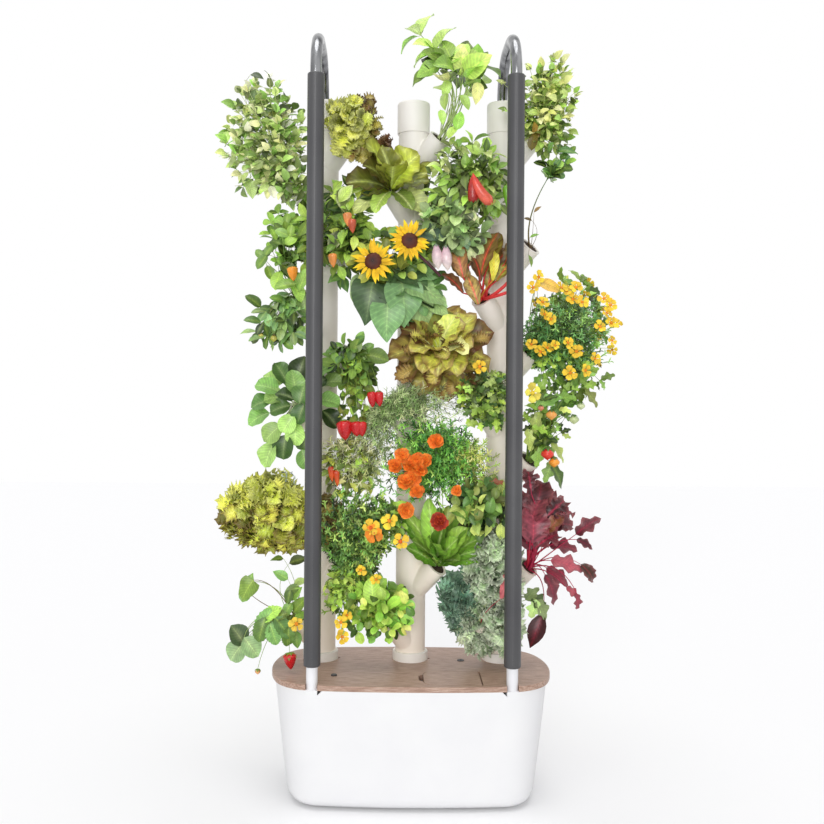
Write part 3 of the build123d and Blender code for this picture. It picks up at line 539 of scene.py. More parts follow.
def petal_ring(plant, centre, facing, count, length, ratio, form, inner, outer, opening=0.25, turn=0.0,
               hole=0.3):
    """One ring of petals round a centre."""
    side = square_to(facing)
    for petal in range(count):
        angle = 2 * math.pi * petal / count + turn + plant.random.uniform(-0.12, 0.12)
        spoke = Quaternion(facing, angle) @ side
        aim = plant.around(spoke + facing * opening, 0.16)
        grown_length = length * MM * plant.random.uniform(0.78, 1.15)
        tone = plant.random.uniform(0.82, 1.15)
        shade = tinted(scaled(inner, tone), tip=scaled(outer, tone))
        blade(plant, centre + spoke * length * hole * MM, aim, facing, grown_length, grown_length * ratio,
              form, shade, PETAL)


def sunflower(plant, centre, facing, radius):
    """Two rings of yellow rays round a dark disc."""
    yellow = srgb(254, 226, 44)
    gold = srgb(248, 196, 20)
    for ring in range(2):
        petal_ring(plant, centre - facing * ring * 2 * MM, facing, 12, radius * 0.7, 0.3, RAY_PETAL, gold,
                   yellow, 0.1 + 0.14 * ring, ring * 0.26, 0.46)
    disc(plant, centre, facing, radius * 0.42 * MM, srgb(44, 16, 14), srgb(92, 40, 18), 0.35)


def pompon(plant, centre, facing, size, tint, deep):
    """Full flower of several ruffled rings."""
    for ring in range(4):
        share = 1 - 0.2 * ring
        petal_ring(plant, centre + facing * ring * 0.16 * size * MM, facing, 9 - ring, size * 0.5 * share,
                   1.0, ROUND_PETAL, deep, tint, 0.3 + 0.55 * ring, ring * 0.5, 0.12)


def blossom(plant, centre, facing, size, tint, eye, count=5):
    """Small flower with broad petals and a coloured eye."""
    inner = mix(tint, eye, 0.2)
    petal_ring(plant, centre, facing, count, size * 0.5, 0.95, ROUND_PETAL, inner, tint, 0.35, 0.0, 0.15)
    disc(plant, centre + facing * 0.6 * MM, facing, size * 0.13 * MM, eye, scaled(eye, 0.8), 0.8)


def flower_stem(plant, centre, facing, tint, radius=1.0):
    """Stem from the plug to the back of a flower."""
    root = root_of(plant)
    span = (centre - root).length
    bend = centre - facing * span * 0.3 + plant.out * span * 0.25
    stalk(plant, curve(root, bend, centre, 12), radius * MM, tint)


def stand(plant, centre, facing, flower, *sizes, radius=1.0):
    """A flower on its own stem."""
    flower_stem(plant, centre, facing, GRASS, radius)
    flower(plant, centre, facing, *sizes)


def blossoms(plant, spots, dy, size, tint, eye, facing=(0.1, -1, 0.3)):
    """Small flowers at places given from the front, in millimetres from the mouth."""
    for index, (dx, dz) in enumerate(spots):
        centre = plant.at(dx, dy - 6 * (index % 3), dz)
        looking = plant.around(Vector(facing), 0.45)
        flower_stem(plant, centre, looking, GRASS, 0.8)
        blossom(plant, centre, looking, size * plant.random.uniform(0.8, 1.2), tint, eye)


def calyx(plant, place, down, size, tint, count=5):
    """Small green leaves where a fruit meets its stalk."""
    side = square_to(down)
    for leaf in range(count):
        spoke = Quaternion(down, 2 * math.pi * leaf / count) @ side
        blade(plant, place, (spoke + down * 0.3).normalized(), -down, size * MM, size * 0.5 * MM,
              LONG_LEAF, tinted(tint))


def fruit(plant, top, down, length, profile, tint, end_tint=None, curl=None, sepals=None, sepal_size=1.0):
    """Fruit from its top down, on a stalk; the profile gives radii in millimetres along its length."""
    steps = len(profile) - 1
    end = top + down * length * MM
    bend = (top + end) / 2 + (curl * length * MM if curl else Vector((0, 0, 0)))
    path = curve(top, bend, end, steps)
    tube(plant, path, [max(radius, 0.05) * MM for radius in profile], tint, FRUIT, FRUIT_SIDES, end_tint)
    if sepals:
        calyx(plant, top - down * 0.5 * MM, down, max(profile) * sepal_size, sepals)
        root = root_of(plant)
        span = (top - root).length
        bend = (root + plant.out * span * 0.5 + top - down * span * 0.5) / 2
        stalk(plant, curve(root, bend, top, 10), 1.1 * MM, sepals)


def ball(radius, steps=10):
    """Profile of a round fruit."""
    return [radius * math.sin(math.pi * step / steps) for step in range(steps + 1)]


def cone_fruit(radius, steps=12, taper=2.4):
    """Profile of a fruit with broad shoulders and a narrow end."""
    profile = []
    for step in range(steps + 1):
        t = step / steps
        profile.append(radius * min(1, math.sqrt(6 * t)) * (1 - t ** taper) ** 0.8)
    return profile


# The plants

# Painted light and shade on leaves: colours are scaled between these factors. The dark end is for shaded
# leaves; the light end, clipped towards white, is for lit leaves with highlights. Part of the spread is the
# leaves' own tone.
LEAF_LIGHT_AND_SHADE_SCALE = (0.2, 2.7)

LIME = srgb(190, 212, 104)
FRESH = srgb(160, 190, 80)
GRASS = srgb(130, 162, 68)
DEEP = srgb(94, 126, 60)
FOREST = srgb(64, 94, 48)
OLIVE = srgb(146, 150, 66)
BRONZE = srgb(122, 86, 54)
CREAM_GREEN = srgb(220, 228, 172)
STEM_GREEN = srgb(160, 180, 104)
BROWN_STEM = srgb(126, 102, 66)
ORANGE = srgb(246, 150, 36)
FLAME = srgb(232, 104, 30)
YELLOW = srgb(253, 220, 64)
RED = srgb(212, 30, 34)
MAGENTA = srgb(180, 36, 74)
HANGING = Vector((0.1, 0, -1)).normalized()


def oregano(plant):
    shades = (srgb(214, 228, 160), srgb(180, 204, 122), srgb(124, 160, 80))
    bush(plant, (-82, -8, 118), (94, 58, 130), 92, SMALL_LEAF, 31, 0.62, shades, STEM_GREEN, inner=0.55,
         start=0.76)
    bush(plant, (-14, -32, 16), (44, 30, 40), 16, SMALL_LEAF, 30, 0.62, shades, STEM_GREEN, pairs=2)
    spots = ((-107, -30, 4, 38, 170), (-101, -25, 206, 30, 185), (-118, -20, 214, 26, 200),
             (-96, -15, 252, 28, 95), (-164, -20, 116, 26, 190), (-146, -25, 96, 28, 175),
             (-144, -30, 120, 24, 200), (-60, -40, -2, 26, 160))
    leaves(plant, spots, SMALL_LEAF, 0.66, shades, STEM_GREEN, 0.9)


def oak_lettuce(plant):
    lime = (srgb(210, 214, 96), srgb(190, 198, 74), srgb(164, 178, 58))
    brown = (srgb(128, 118, 54), srgb(100, 74, 42))
    frills(plant, (2, -30, 36), (54, 50, 70), 92, 40, 0.95, FRILLED_LEAF, lime,
           margin=srgb(222, 224, 140))
    frills(plant, (34, -24, 76), (28, 26, 26), 14, 32, 0.9, FRILLED_LEAF, brown, margin=srgb(88, 56, 38))
    frills(plant, (56, -22, 26), (16, 18, 40), 9, 28, 0.9, FRILLED_LEAF, brown, margin=srgb(150, 148, 70))
    frills(plant, (18, -34, -30), (34, 26, 18), 12, 30, 0.9, FRILLED_LEAF, brown,
           margin=srgb(196, 192, 110))


def ground_cherry(plant):
    shades = (srgb(138, 176, 92), GRASS, DEEP)
    bush(plant, (-28, -22, 132), (46, 46, 62), 22, ROUND_LEAF, 34, 0.64, shades, STEM_GREEN, pairs=2,
         rib=LIME)
    spots = ((-84, -30, 80, 34, 220), (-66, -35, 56, 30, 150), (-88, -20, 96, 24, 320),
             (-70, -25, 104, 26, 20), (-32, -72, 30, 44, 265), (6, -66, 42, 50, 20),
             (-4, -56, 16, 46, 140), (-100, -40, -6, 38, 318), (-50, -50, 40, 40, 200),
             (-24, -60, 64, 38, 120), (10, -50, -10, 42, 160))
    leaves(plant, spots, ROUND_LEAF, 0.68, shades, STEM_GREEN, 1.0, rib=LIME)
    low = (srgb(112, 148, 96), DEEP, srgb(140, 164, 104))
    bush(plant, (-42, -36, -54), (56, 40, 48), 24, ROUND_LEAF, 36, 0.6, low, STEM_GREEN, pairs=2,
         rib=LIME)
    fruit(plant, plant.at(-17, -84, 70), HANGING, 32, cone_fruit(12), srgb(245, 158, 44), ORANGE,
          sepals=DEEP)
    for dx, dz, radius in ((-84, -76, 6), (-56, -80, 8)):
        fruit(plant, plant.at(dx, -50, dz), -UP, 2 * radius, ball(radius), srgb(214, 206, 104),
              sepals=BROWN_STEM)


def orange_pepper(plant):
    shades = (GRASS, FRESH, DEEP, FOREST)
    bush(plant, (-4, -28, 34), (46, 44, 112), 34, LONG_LEAF, 42, 0.54, shades, STEM_GREEN, pairs=2,
         rib=LIME)
    bush(plant, (-66, -40, 28), (62, 36, 70), 26, LONG_LEAF, 40, 0.54, shades, STEM_GREEN, pairs=2,
         rib=LIME)
    variegated = (srgb(164, 186, 84), GRASS)
    spots = ((-8, -70, 96, 54, 150), (-30, -66, 10, 46, 200), (16, -60, 126, 40, 60),
             (-6, -78, 116, 44, 30))
    leaves(plant, spots, LONG_LEAF, 0.56, variegated, STEM_GREEN, margin=CREAM_GREEN)
    for dx, dz, tint in ((-34, -16, srgb(244, 156, 76)), (-2, 74, srgb(240, 150, 84)),
                         (8, 60, srgb(206, 92, 60))):
        fruit(plant, plant.at(dx, -84, dz), HANGING, 32, cone_fruit(10), tint, sepals=GRASS)


def pak_choi(plant):
    shades = (srgb(104, 142, 74), srgb(134, 164, 90), srgb(80, 118, 60))
    spots = ((-90, -30, -24, 48, 255), (-82, -40, 9, 46, 275), (-69, -36, 43, 50, 300),
             (-37, -30, 73, 46, 335), (2, -28, 78, 54, 10), (-43, -60, -4, 44, 262),
             (-26, -64, -41, 42, 215), (2, -66, -19, 42, 200), (6, -60, 28, 46, 20),
             (-69, -44, -108, 52, 215), (-34, -48, -92, 50, 190), (13, -40, -80, 42, 175),
             (13, -36, -118, 40, 165), (71, -40, 56, 48, 60), (67, -46, 13, 46, 90),
             (71, -44, -26, 46, 120), (52, -34, 82, 44, 40), (-56, 20, 60, 44, 300),
             (-20, 30, 60, 44, 330), (-60, -50, -60, 48, 230), (-10, -56, 52, 46, 350),
             (-52, -44, 20, 46, 280), (30, -56, 0, 44, 120), (-8, -50, -64, 46, 185),
             (36, -50, 52, 44, 50), (-30, -62, 24, 40, 300))
    leaves(plant, spots, PAK_LEAF, 0.86, shades, srgb(222, 232, 196), 2.2, rib=srgb(206, 222, 164))


def red_pepper(plant):
    shades = (DEEP, GRASS, FOREST)
    bush(plant, (12, -28, -24), (52, 44, 48), 24, ROUND_LEAF, 33, 0.66, shades, STEM_GREEN, pairs=2,
         rib=FRESH)
    bush(plant, (20, -34, -108), (44, 38, 50), 22, SMALL_LEAF, 27, 0.66, (OLIVE, DEEP, GRASS), STEM_GREEN)
    spots = ((67, -60, -8, 46, 95), (20, -66, 14, 30, 20), (48, -50, -46, 34, 80))
    leaves(plant, spots, ROUND_LEAF, 0.8, (GRASS, DEEP), GRASS, rib=LIME)
    berries = ((54, -84, 10, 36), (70, -84, 10, 34), (-6, -148, 17, 44), (20, -150, 14, 34),
               (32, -150, 12, 34))
    for dx, dz, width, tall in berries:
        fruit(plant, plant.at(dx, -76, dz), HANGING, tall, cone_fruit(width, 12, 3.0), RED,
              srgb(188, 20, 30), sepals=GRASS)


def curly_lettuce(plant):
    lime = (srgb(216, 222, 88), srgb(192, 204, 72), srgb(160, 174, 62))
    brown = srgb(132, 104, 66)
    lobes = (((-108, -20, 2), (68, 52, 72), 104), ((-54, -30, 26), (72, 56, 66), 100),
             ((-44, -34, -38), (84, 52, 48), 80))
    for centre, radii, count in lobes:
        frills(plant, centre, radii, count, 36, 1.05, CURLED_LEAF, lime, margin=srgb(222, 222, 130),
               low_margin=brown)
    dull = (srgb(150, 140, 70), srgb(118, 104, 56))
    frills(plant, (66, -30, -22), (38, 30, 58), 44, 30, 1.0, CURLED_LEAF, dull, margin=brown)
    silver = (srgb(190, 204, 206), srgb(160, 180, 180))
    feathers(plant, (-28, -30, 84), (28, 20, 16), 8, silver, srgb(180, 190, 180), branches=7, length=18,
             width=2.4, threads=3)


def chili(plant):
    pale = (srgb(226, 228, 184), srgb(196, 198, 136), srgb(150, 164, 98))
    feathers(plant, (16, -32, -4), (78, 42, 76), 80, pale, BROWN_STEM, branches=9, length=34, width=2.4)
    bush(plant, (10, -26, -16), (64, 40, 58), 36, LONG_LEAF, 34, 0.42,
         (GRASS, OLIVE, srgb(168, 178, 110)), BROWN_STEM)
    for dx, dz in ((-34, -14), (-22, -22)):
        fruit(plant, plant.at(dx, -66, dz), HANGING, 38, cone_fruit(7), srgb(206, 62, 34), FLAME,
              sepals=GRASS)


def dense_marigold(plant):
    dark = (DEEP, FOREST, srgb(112, 158, 80), srgb(158, 180, 92))
    feathers(plant, (26, -52, 80), (90, 34, 98), 150, dark, GRASS, branches=11, length=34, width=4.0,
             threads=4)
    herb = (srgb(170, 194, 92), FRESH, GRASS)
    bush(plant, (20, -32, -52), (66, 40, 66), 60, SMALL_LEAF, 22, 0.58, herb, GRASS)
    feathers(plant, (-2, -30, -78), (44, 40, 64), 36, (FRESH, GRASS, DEEP), GRASS, length=30, width=3.6,
             threads=4)
    blossoms(plant, ((34, -9), (68, -30), (-9, -124), (4, -108), (-6, -156)), -86, 24, YELLOW, ORANGE)


def romaine_bronze(plant):
    bronze = (srgb(142, 150, 58), srgb(118, 120, 50), srgb(150, 164, 60))
    outer = ((-94, -50, 22, 72), (-26, -30, 120, 84), (-58, -50, 60, 70), (-80, -30, 0, 56),
             (76, -36, 24, 56), (110, 0, 62, 34), (-44, -10, 96, 70))
    fan(plant, outer, ROMAINE_LEAF, bronze, rib=srgb(198, 212, 118), margin=srgb(92, 70, 42))
    inner = ((54, -46, 78, 96), (34, -66, 84, 70), (2, -44, 96, 56), (-14, -70, 60, 54),
             (70, -60, 40, 66))
    fan(plant, inner, ROMAINE_LEAF, (srgb(182, 194, 78), srgb(150, 172, 60)), rib=srgb(224, 232, 160),
        margin=srgb(150, 150, 66))
    low = ((-80, -44, -45, 38), (75, -46, -43, 50), (44, -60, -34, 40), (-40, -60, -40, 40))
    fan(plant, low, ROMAINE_LEAF, (srgb(120, 142, 64), srgb(200, 208, 136)), rib=srgb(220, 228, 160))
    dark = (srgb(98, 70, 44), srgb(84, 50, 38))
    frills(plant, (-26, -26, 114), (26, 16, 12), 10, 28, 0.9, FRILLED_LEAF, dark,
           margin=srgb(120, 90, 60))


def basil(plant):
    shades = (srgb(150, 184, 88), srgb(172, 198, 112), srgb(114, 154, 66))
    pale_stem = srgb(190, 206, 146)
    crown = [plant.at(*spot) for spot in (
        (-42, -12, 228), (-10, -30, 190), (22, -38, 180), (50, -34, 172), (74, -30, 156), (84, -10, 152),
        (36, 0, 164), (-6, -30, 150), (58, 10, 140), (8, -40, 160))]
    shoots(plant, crown, BASIL_LEAF, 66, 0.7, shades, pale_stem, pairs=2, start=0.82, radius=1.9,
           rise=0.6, rib=LIME)
    spots = ((84, -50, 104, 44, 175), (9, -50, 84, 34, 200), (58, -50, 84, 34, 140),
             (43, -56, 44, 40, 20), (14, -52, 112, 36, 190), (6, -50, 50, 30, 170), (28, -50, 20, 34, 30))
    leaves(plant, spots, BASIL_LEAF, 0.55, shades, pale_stem, rib=LIME)


def sunflowers(plant):
    spots = ((-49, -54, -9, 86, 192), (-9, -62, -52, 76, 184), (30, -58, -13, 86, 168),
             (56, -44, 49, 72, 120), (88, -40, 19, 86, 118), (-30, -30, 34, 66, 215),
             (24, -50, 34, 64, 150), (66, -34, -24, 74, 146), (-72, -34, 16, 56, 220),
             (10, -34, 10, 70, 190), (104, -26, -12, 60, 128), (-20, -40, 6, 66, 200),
             (84, -24, 58, 56, 80))
    blue_green = (srgb(104, 138, 92), srgb(84, 116, 72), srgb(132, 156, 102))
    leaves(plant, spots, HEART_LEAF, 0.9, blue_green, STEM_GREEN, 1.8, rib=srgb(170, 192, 138))
    bush(plant, (30, -10, 10), (86, 30, 56), 16, ROUND_LEAF, 40, 0.7, (DEEP, FOREST, srgb(96, 128, 84)),
         STEM_GREEN, pairs=2)
    bush(plant, (0, -34, 92), (80, 26, 58), 30, ROUND_LEAF, 36, 0.7, (GRASS, DEEP, OLIVE), STEM_GREEN,
         pairs=2)
    for dx, dy, dz, radius, lean in ((-40, -84, 82, 45, -0.1), (40, -82, 128, 43, 0.05)):
        centre = plant.at(dx, dy, dz)
        facing = Vector((lean, -1, 0.16)).normalized()
        stand(plant, centre, facing, sunflower, radius, radius=2.4)


def eggplant(plant):
    stem = srgb(146, 156, 118)
    teal = (srgb(116, 150, 130), srgb(136, 166, 138))
    spots = ((-2, -74, 26, 62, 95), (64, -58, 10, 48, 150), (20, -40, 50, 50, 60),
             (-20, -40, 44, 44, 290), (36, -50, 22, 44, 120))
    leaves(plant, spots, HEART_LEAF, 0.68, teal, stem, turn=0.15, rib=srgb(168, 192, 160))
    pale = (srgb(164, 182, 132), srgb(190, 200, 160), srgb(140, 160, 104))
    spots = ((34, -56, 66, 50, 40), (77, -50, 58, 46, 80), (52, -40, 84, 40, 20), (56, -66, 40, 36, 110),
             (24, -44, 76, 44, 350), (69, -44, 80, 42, 50), (10, -30, 60, 44, 320),
             (48, -50, 56, 40, 140))
    leaves(plant, spots, HEART_LEAF, 0.7, pale, stem, rib=CREAM_GREEN)
    bush(plant, (30, -50, 42), (66, 24, 62), 56, ROUND_LEAF, 36, 0.72,
         (pale[0], pale[2], srgb(122, 150, 96)), stem, pairs=2)
    size = 11.5
    profile = [share * size for share in (0.25, 0.5, 0.68, 0.84, 0.95, 1.0, 1.0, 0.96, 0.84, 0.6, 0.3, 0)]
    for dx, dz in ((-6, 4), (15, 1)):
        fruit(plant, plant.at(dx, -86, dz), HANGING, 54, profile, srgb(216, 176, 192),
              srgb(240, 226, 224), sepals=srgb(120, 150, 120))
    tube(plant, curve(plant.at(-46, -70, -18), plant.at(-20, -76, -40), plant.at(4, -70, -66), 6),
         [3.2 * MM] * 7, srgb(74, 34, 44), STEM, 8)


def dill(plant):
    shades = (srgb(180, 196, 144), srgb(150, 172, 112), srgb(112, 142, 82))
    sizes = {"branches": 11, "length": 36, "width": 1.7, "threads": 5}
    feathers(plant, (92, -34, -4), (106, 40, 46), 44, shades, srgb(160, 174, 122), **sizes)
    feathers(plant, (-30, -36, -92), (54, 40, 84), 38, shades, srgb(160, 174, 122), **sizes)


def red_lettuce(plant):
    lime = (srgb(196, 206, 88), srgb(168, 178, 68))
    olive = (srgb(160, 156, 70), srgb(140, 120, 62))
    outer = ((-108, -40, -4, 92), (-78, -40, 56, 84), (-40, -44, -88, 84), (20, -44, -100, 90),
             (118, -30, 40, 84), (110, -40, -40, 88), (60, -20, 90, 80), (70, -50, -86, 80),
             (-20, -20, 84, 76), (-84, -40, -50, 84))
    fan(plant, outer, BROAD_LEAF, olive, rib=srgb(206, 208, 120), margin=srgb(124, 78, 58),
        mottle=srgb(120, 70, 52), droop=1.0)
    inner = ((-56, -88, 6, 78), (24, -92, 62, 84), (66, -88, 10, 84), (6, -98, -44, 80),
             (92, -76, 44, 70), (-30, -84, 44, 70), (60, -90, -40, 76), (-40, -88, -34, 72))
    fan(plant, inner, BROAD_LEAF, lime, rib=srgb(226, 230, 150), margin=srgb(150, 110, 76),
        mottle=srgb(142, 104, 66), depth=3.0, droop=1.3)
    heart_leaves = ((28, -100, 28, 60), (10, -104, 4, 56), (44, -104, -6, 56))
    fan(plant, heart_leaves, BROAD_LEAF, (srgb(206, 216, 104),), rib=srgb(236, 240, 176), droop=1.5)
    frills(plant, (10, -50, -4), (112, 40, 92), 34, 40, 1.0, FRILLED_LEAF, olive,
           margin=srgb(134, 92, 66))
    blossoms(plant, ((92, -30),), -108, 32, YELLOW, ORANGE)


def viola(plant):
    bush(plant, (0, -28, -20), (50, 40, 44), 26, SMALL_LEAF, 25, 0.55, (GRASS, DEEP, FRESH), GRASS)
    flowers = ((-41, -32, YELLOW, FLAME), (0, -17, YELLOW, ORANGE), (24, -62, YELLOW, FLAME),
               (-34, -44, ORANGE, FLAME))
    for dx, dz, tint, eye in flowers:
        centre = plant.at(dx, -90, dz)
        facing = plant.around(Vector((0, -1, 0.15)), 0.2)
        stand(plant, centre, facing, blossom, 34, tint, eye)


def orange_marigold(plant):
    shades = (srgb(138, 192, 84), srgb(98, 154, 68), srgb(60, 112, 54))
    feathers(plant, (-17, -32, -6), (124, 50, 112), 130, shades, GRASS, branches=11, length=36, width=3.2,
             threads=4)
    yellowish = (srgb(194, 202, 116), FRESH)
    feathers(plant, (92, -30, -14), (36, 30, 60), 26, yellowish, GRASS, length=34, width=2.6)
    spots = ((-92, -16, 32), (-77, 6, 32), (-45, -3, 32), (-26, -4, 30), (-54, -40, 34), (-69, -49, 32),
             (-45, -69, 30), (-69, -112, 32), (-4, 40, 32), (43, -67, 22), (-60, -14, 30), (-38, -24, 28))
    for index, (dx, dz, size) in enumerate(spots):
        centre = plant.at(dx, -94 - 4 * (index % 3), dz)
        facing = plant.around(Vector((0, -1, 0.3)), 0.3)
        tint = srgb(252, 172, 62) if index % 2 else srgb(248, 148, 44)
        stand(plant, centre, facing, pompon, size, tint, srgb(238, 116, 34))
    facing = Vector((0.1, -1, 0.4)).normalized()
    stand(plant, plant.at(5, -96, -135), facing, pompon, 36, srgb(222, 88, 34), srgb(160, 40, 24))


def lamb_lettuce(plant):
    shades = (srgb(178, 206, 96), srgb(140, 182, 72), srgb(96, 142, 56))
    bush(plant, (-22, -36, 24), (72, 42, 62), 44, ROUND_LEAF, 27, 0.74, shades, FRESH, pairs=2)
    spots = ((-37, -66, 62, 54, 350), (-20, -60, 76, 36, 30), (40, -50, 2, 30, 100),
             (-56, -50, 20, 34, 280), (-64, -44, 60, 40, 310), (10, -56, 40, 36, 40))
    leaves(plant, spots, ROUND_LEAF, 0.66, shades, FRESH, rib=LIME)


def romaine_green(plant):
    shades = (srgb(122, 166, 58), srgb(94, 142, 46), srgb(160, 194, 84))
    tips = ((-56, -40, 118, 36), (-34, -52, 134, 46), (-8, -30, 120, 52), (20, -60, 88, 50),
            (56, -40, 112, 50), (86, -44, 68, 46), (42, -66, 56, 44), (60, -10, 96, 54),
            (-40, -10, 100, 46), (4, -70, 60, 40), (78, -30, 92, 48), (-22, -66, 84, 40),
            (30, -20, 124, 50), (96, -40, 40, 40), (-64, -36, 84, 40), (-48, -56, 60, 40),
            (66, -60, 78, 46), (-60, -50, 36, 44), (92, -50, 18, 40), (-30, -66, 30, 44),
            (50, -66, 20, 44), (100, -36, 88, 44), (-70, -30, 108, 44))
    fan(plant, tips, ROMAINE_LEAF, shades, rib=srgb(212, 230, 160), margin=srgb(120, 160, 66), droop=0.6)


def chili_right(plant):
    shades = (DEEP, srgb(168, 180, 118), GRASS, srgb(150, 164, 96))
    bush(plant, (-34, -30, 16), (88, 44, 100), 76, LONG_LEAF, 40, 0.5, shades, STEM_GREEN, inner=0.4,
         pairs=2, rib=FRESH)
    spots = ((-38, -70, -6, 60, 178), (20, -50, 60, 46, 150), (-70, -50, 20, 50, 240))
    leaves(plant, spots, LONG_LEAF, 0.42, shades, STEM_GREEN)
    salmon = Vector((-0.5, -0.1, 0.72)).normalized()
    fruit(plant, plant.at(22, -88, -26), salmon, 78, cone_fruit(12, 12, 3.4), srgb(238, 116, 92),
          srgb(226, 66, 58), Vector((-0.14, 0, -0.16)), sepals=srgb(206, 190, 90))
    fruit(plant, plant.at(-22, -88, -26), Vector((-0.04, 0, 1)), 60, cone_fruit(11, 12, 3.4),
          srgb(150, 30, 26), srgb(196, 50, 42), sepals=DEEP)
    fruit(plant, plant.at(50, -76, 18), HANGING, 56, cone_fruit(9), srgb(112, 176, 44), sepals=GRASS)


def mint(plant):
    shades = (srgb(214, 226, 144), srgb(180, 204, 108), srgb(122, 156, 72))
    bush(plant, (38, -14, 78), (64, 46, 112), 70, SMALL_LEAF, 27, 0.64, shades, STEM_GREEN, inner=0.5,
         start=0.7)
    tips = [plant.at(-59, -30, 122), plant.at(-52, -36, 64), plant.at(52, -10, 176),
            plant.at(84, -14, 146)]
    shoots(plant, tips, SMALL_LEAF, 26, 0.64, shades, STEM_GREEN, pairs=5, start=0.3)
    straw = (srgb(222, 206, 90), srgb(214, 170, 80))
    leaves(plant, ((6, -50, 0, 40, 10), (12, -46, 22, 36, 350)), SMALL_LEAF, 0.5, straw, STEM_GREEN)


def thyme(plant):
    shades = (DEEP, srgb(90, 132, 78), GRASS)
    branch = plant.at(36, -34, 146)
    stalk(plant, curve(plant.mouth, plant.at(-14, -40, 60), branch, 12), 2.0 * MM, BROWN_STEM, DEEP)
    spots = ((60, -34, 206), (40, -40, 204), (76, -30, 182), (52, -46, 172), (84, -20, 204),
             (66, -40, 190))
    shoots(plant, [plant.at(*spot) for spot in spots], ROUND_LEAF, 30, 0.64, shades, DEEP, start=0.3,
           rise=0.1, root=branch, rib=LIME)
    blade(plant, plant.at(56, -44, 208), Vector((0.95, -0.1, 0.2)).normalized(), LIGHT_SIDE, 52 * MM,
          26 * MM, LONG_LEAF, tinted(srgb(96, 142, 78), rib=LIME))
    low = ((10, -34, 26, 20, 60), (-4, -36, 62, 18, 300), (16, -34, 84, 20, 40), (4, -36, -30, 26, 150))
    leaves(plant, low, LONG_LEAF, 0.36, (BROWN_STEM, DEEP), BROWN_STEM, 0.7)


def chard(plant):
    red = srgb(228, 66, 68)
    brown = (srgb(150, 112, 66), srgb(126, 94, 64), srgb(140, 140, 60))
    spots = ((-52, -56, 88, 72, 350), (4, -58, 104, 90, 10), (-20, -70, 22, 60, 335),
             (34, -16, 92, 64, 20), (-14, 6, 82, 60, 350), (-40, -40, 60, 56, 340),
             (-30, -30, 106, 60, 356), (20, -40, 112, 70, 14), (-6, -50, 70, 56, 0),
             (48, -30, 70, 60, 30), (-60, -40, 40, 56, 330), (16, -20, 56, 60, 5), (58, -30, 108, 56, 24))
    leaves(plant, spots, ROMAINE_LEAF, 0.52, brown, red, 3.2, rib=red, margin=BRONZE,
           mottle=srgb(112, 66, 52), heavy=True)
    amber = srgb(226, 150, 60)
    leaves(plant, ((26, -50, 78, 66, 8),), ROMAINE_LEAF, 0.32, (srgb(176, 170, 60),), amber, 2.6,
           rib=amber)
    for tip in ((66, -60, 20), (58, -54, 40)):
        path = curve(plant.mouth, plant.at(24, -60, 4), plant.at(*tip), 10)
        tube(plant, path, [3.6 * MM] * 11, red, STEM, 8)


def parsley(plant):
    shades = (DEEP, FRESH, srgb(158, 176, 104), FOREST)
    bush(plant, (12, -32, 22), (62, 44, 68), 66, LOBED_LEAF, 26, 0.8, shades, GRASS, inner=0.4)


def signet_marigold(plant):
    shades = (srgb(98, 140, 82), srgb(66, 110, 58), srgb(126, 162, 88))
    feathers(plant, (88, -22, 40), (98, 58, 96), 126, shades, GRASS, length=36, width=3.4, threads=4)
    bush(plant, (92, -10, -48), (74, 42, 48), 22, LOBED_LEAF, 36, 0.66, (DEEP, GRASS, FRESH), GRASS,
         pairs=2)
    front = ((20, 168), (8, 145), (70, 145), (82, 138), (102, 146), (116, 114), (164, 122), (178, 108),
             (29, 113), (33, 86), (48, 76), (156, 60), (180, 68), (182, 30), (5, 20), (25, 4), (57, 18),
             (85, 24), (104, 5), (145, -10), (124, -36), (91, -42), (40, 12), (170, 90), (96, 120))
    blossoms(plant, front, -78, 25, YELLOW, ORANGE, (0.2, -1, 0.4))
    for centre in plant.within((100, 30, 60), (100, 40, 104), 18, 0.9):
        facing = plant.around(Vector((0.3, 0.6, 0.6)), 0.4)
        stand(plant, centre, facing, blossom, 25, YELLOW, ORANGE, radius=0.7)
    leaves(plant, ((44, -60, 150, 46, 100),), ROUND_LEAF, 0.7, (srgb(164, 132, 60),), GRASS, rib=OLIVE)
    bush(plant, (96, 10, 76), (80, 24, 88), 44, LOBED_LEAF, 36, 0.6, (DEEP, GRASS, FRESH), GRASS, pairs=2)


def spinach(plant):
    shades = (DEEP, FOREST, srgb(150, 160, 86))
    bush(plant, (8, -38, 14), (56, 40, 52), 34, BASIL_LEAF, 38, 0.62, shades, GRASS, pairs=2, inner=0.4)
    spots = ((44, -40, 46, 48, 60), (-34, -56, -2, 52, 300), (20, -30, 60, 50, 15),
             (-50, -40, 30, 46, 290))
    leaves(plant, spots, ROUND_LEAF, 0.6, shades, GRASS, rib=LIME)
    leaves(plant, ((30, -50, 72, 40, 70),), LOBED_LEAF, 0.6, (srgb(120, 70, 48),), BROWN_STEM)


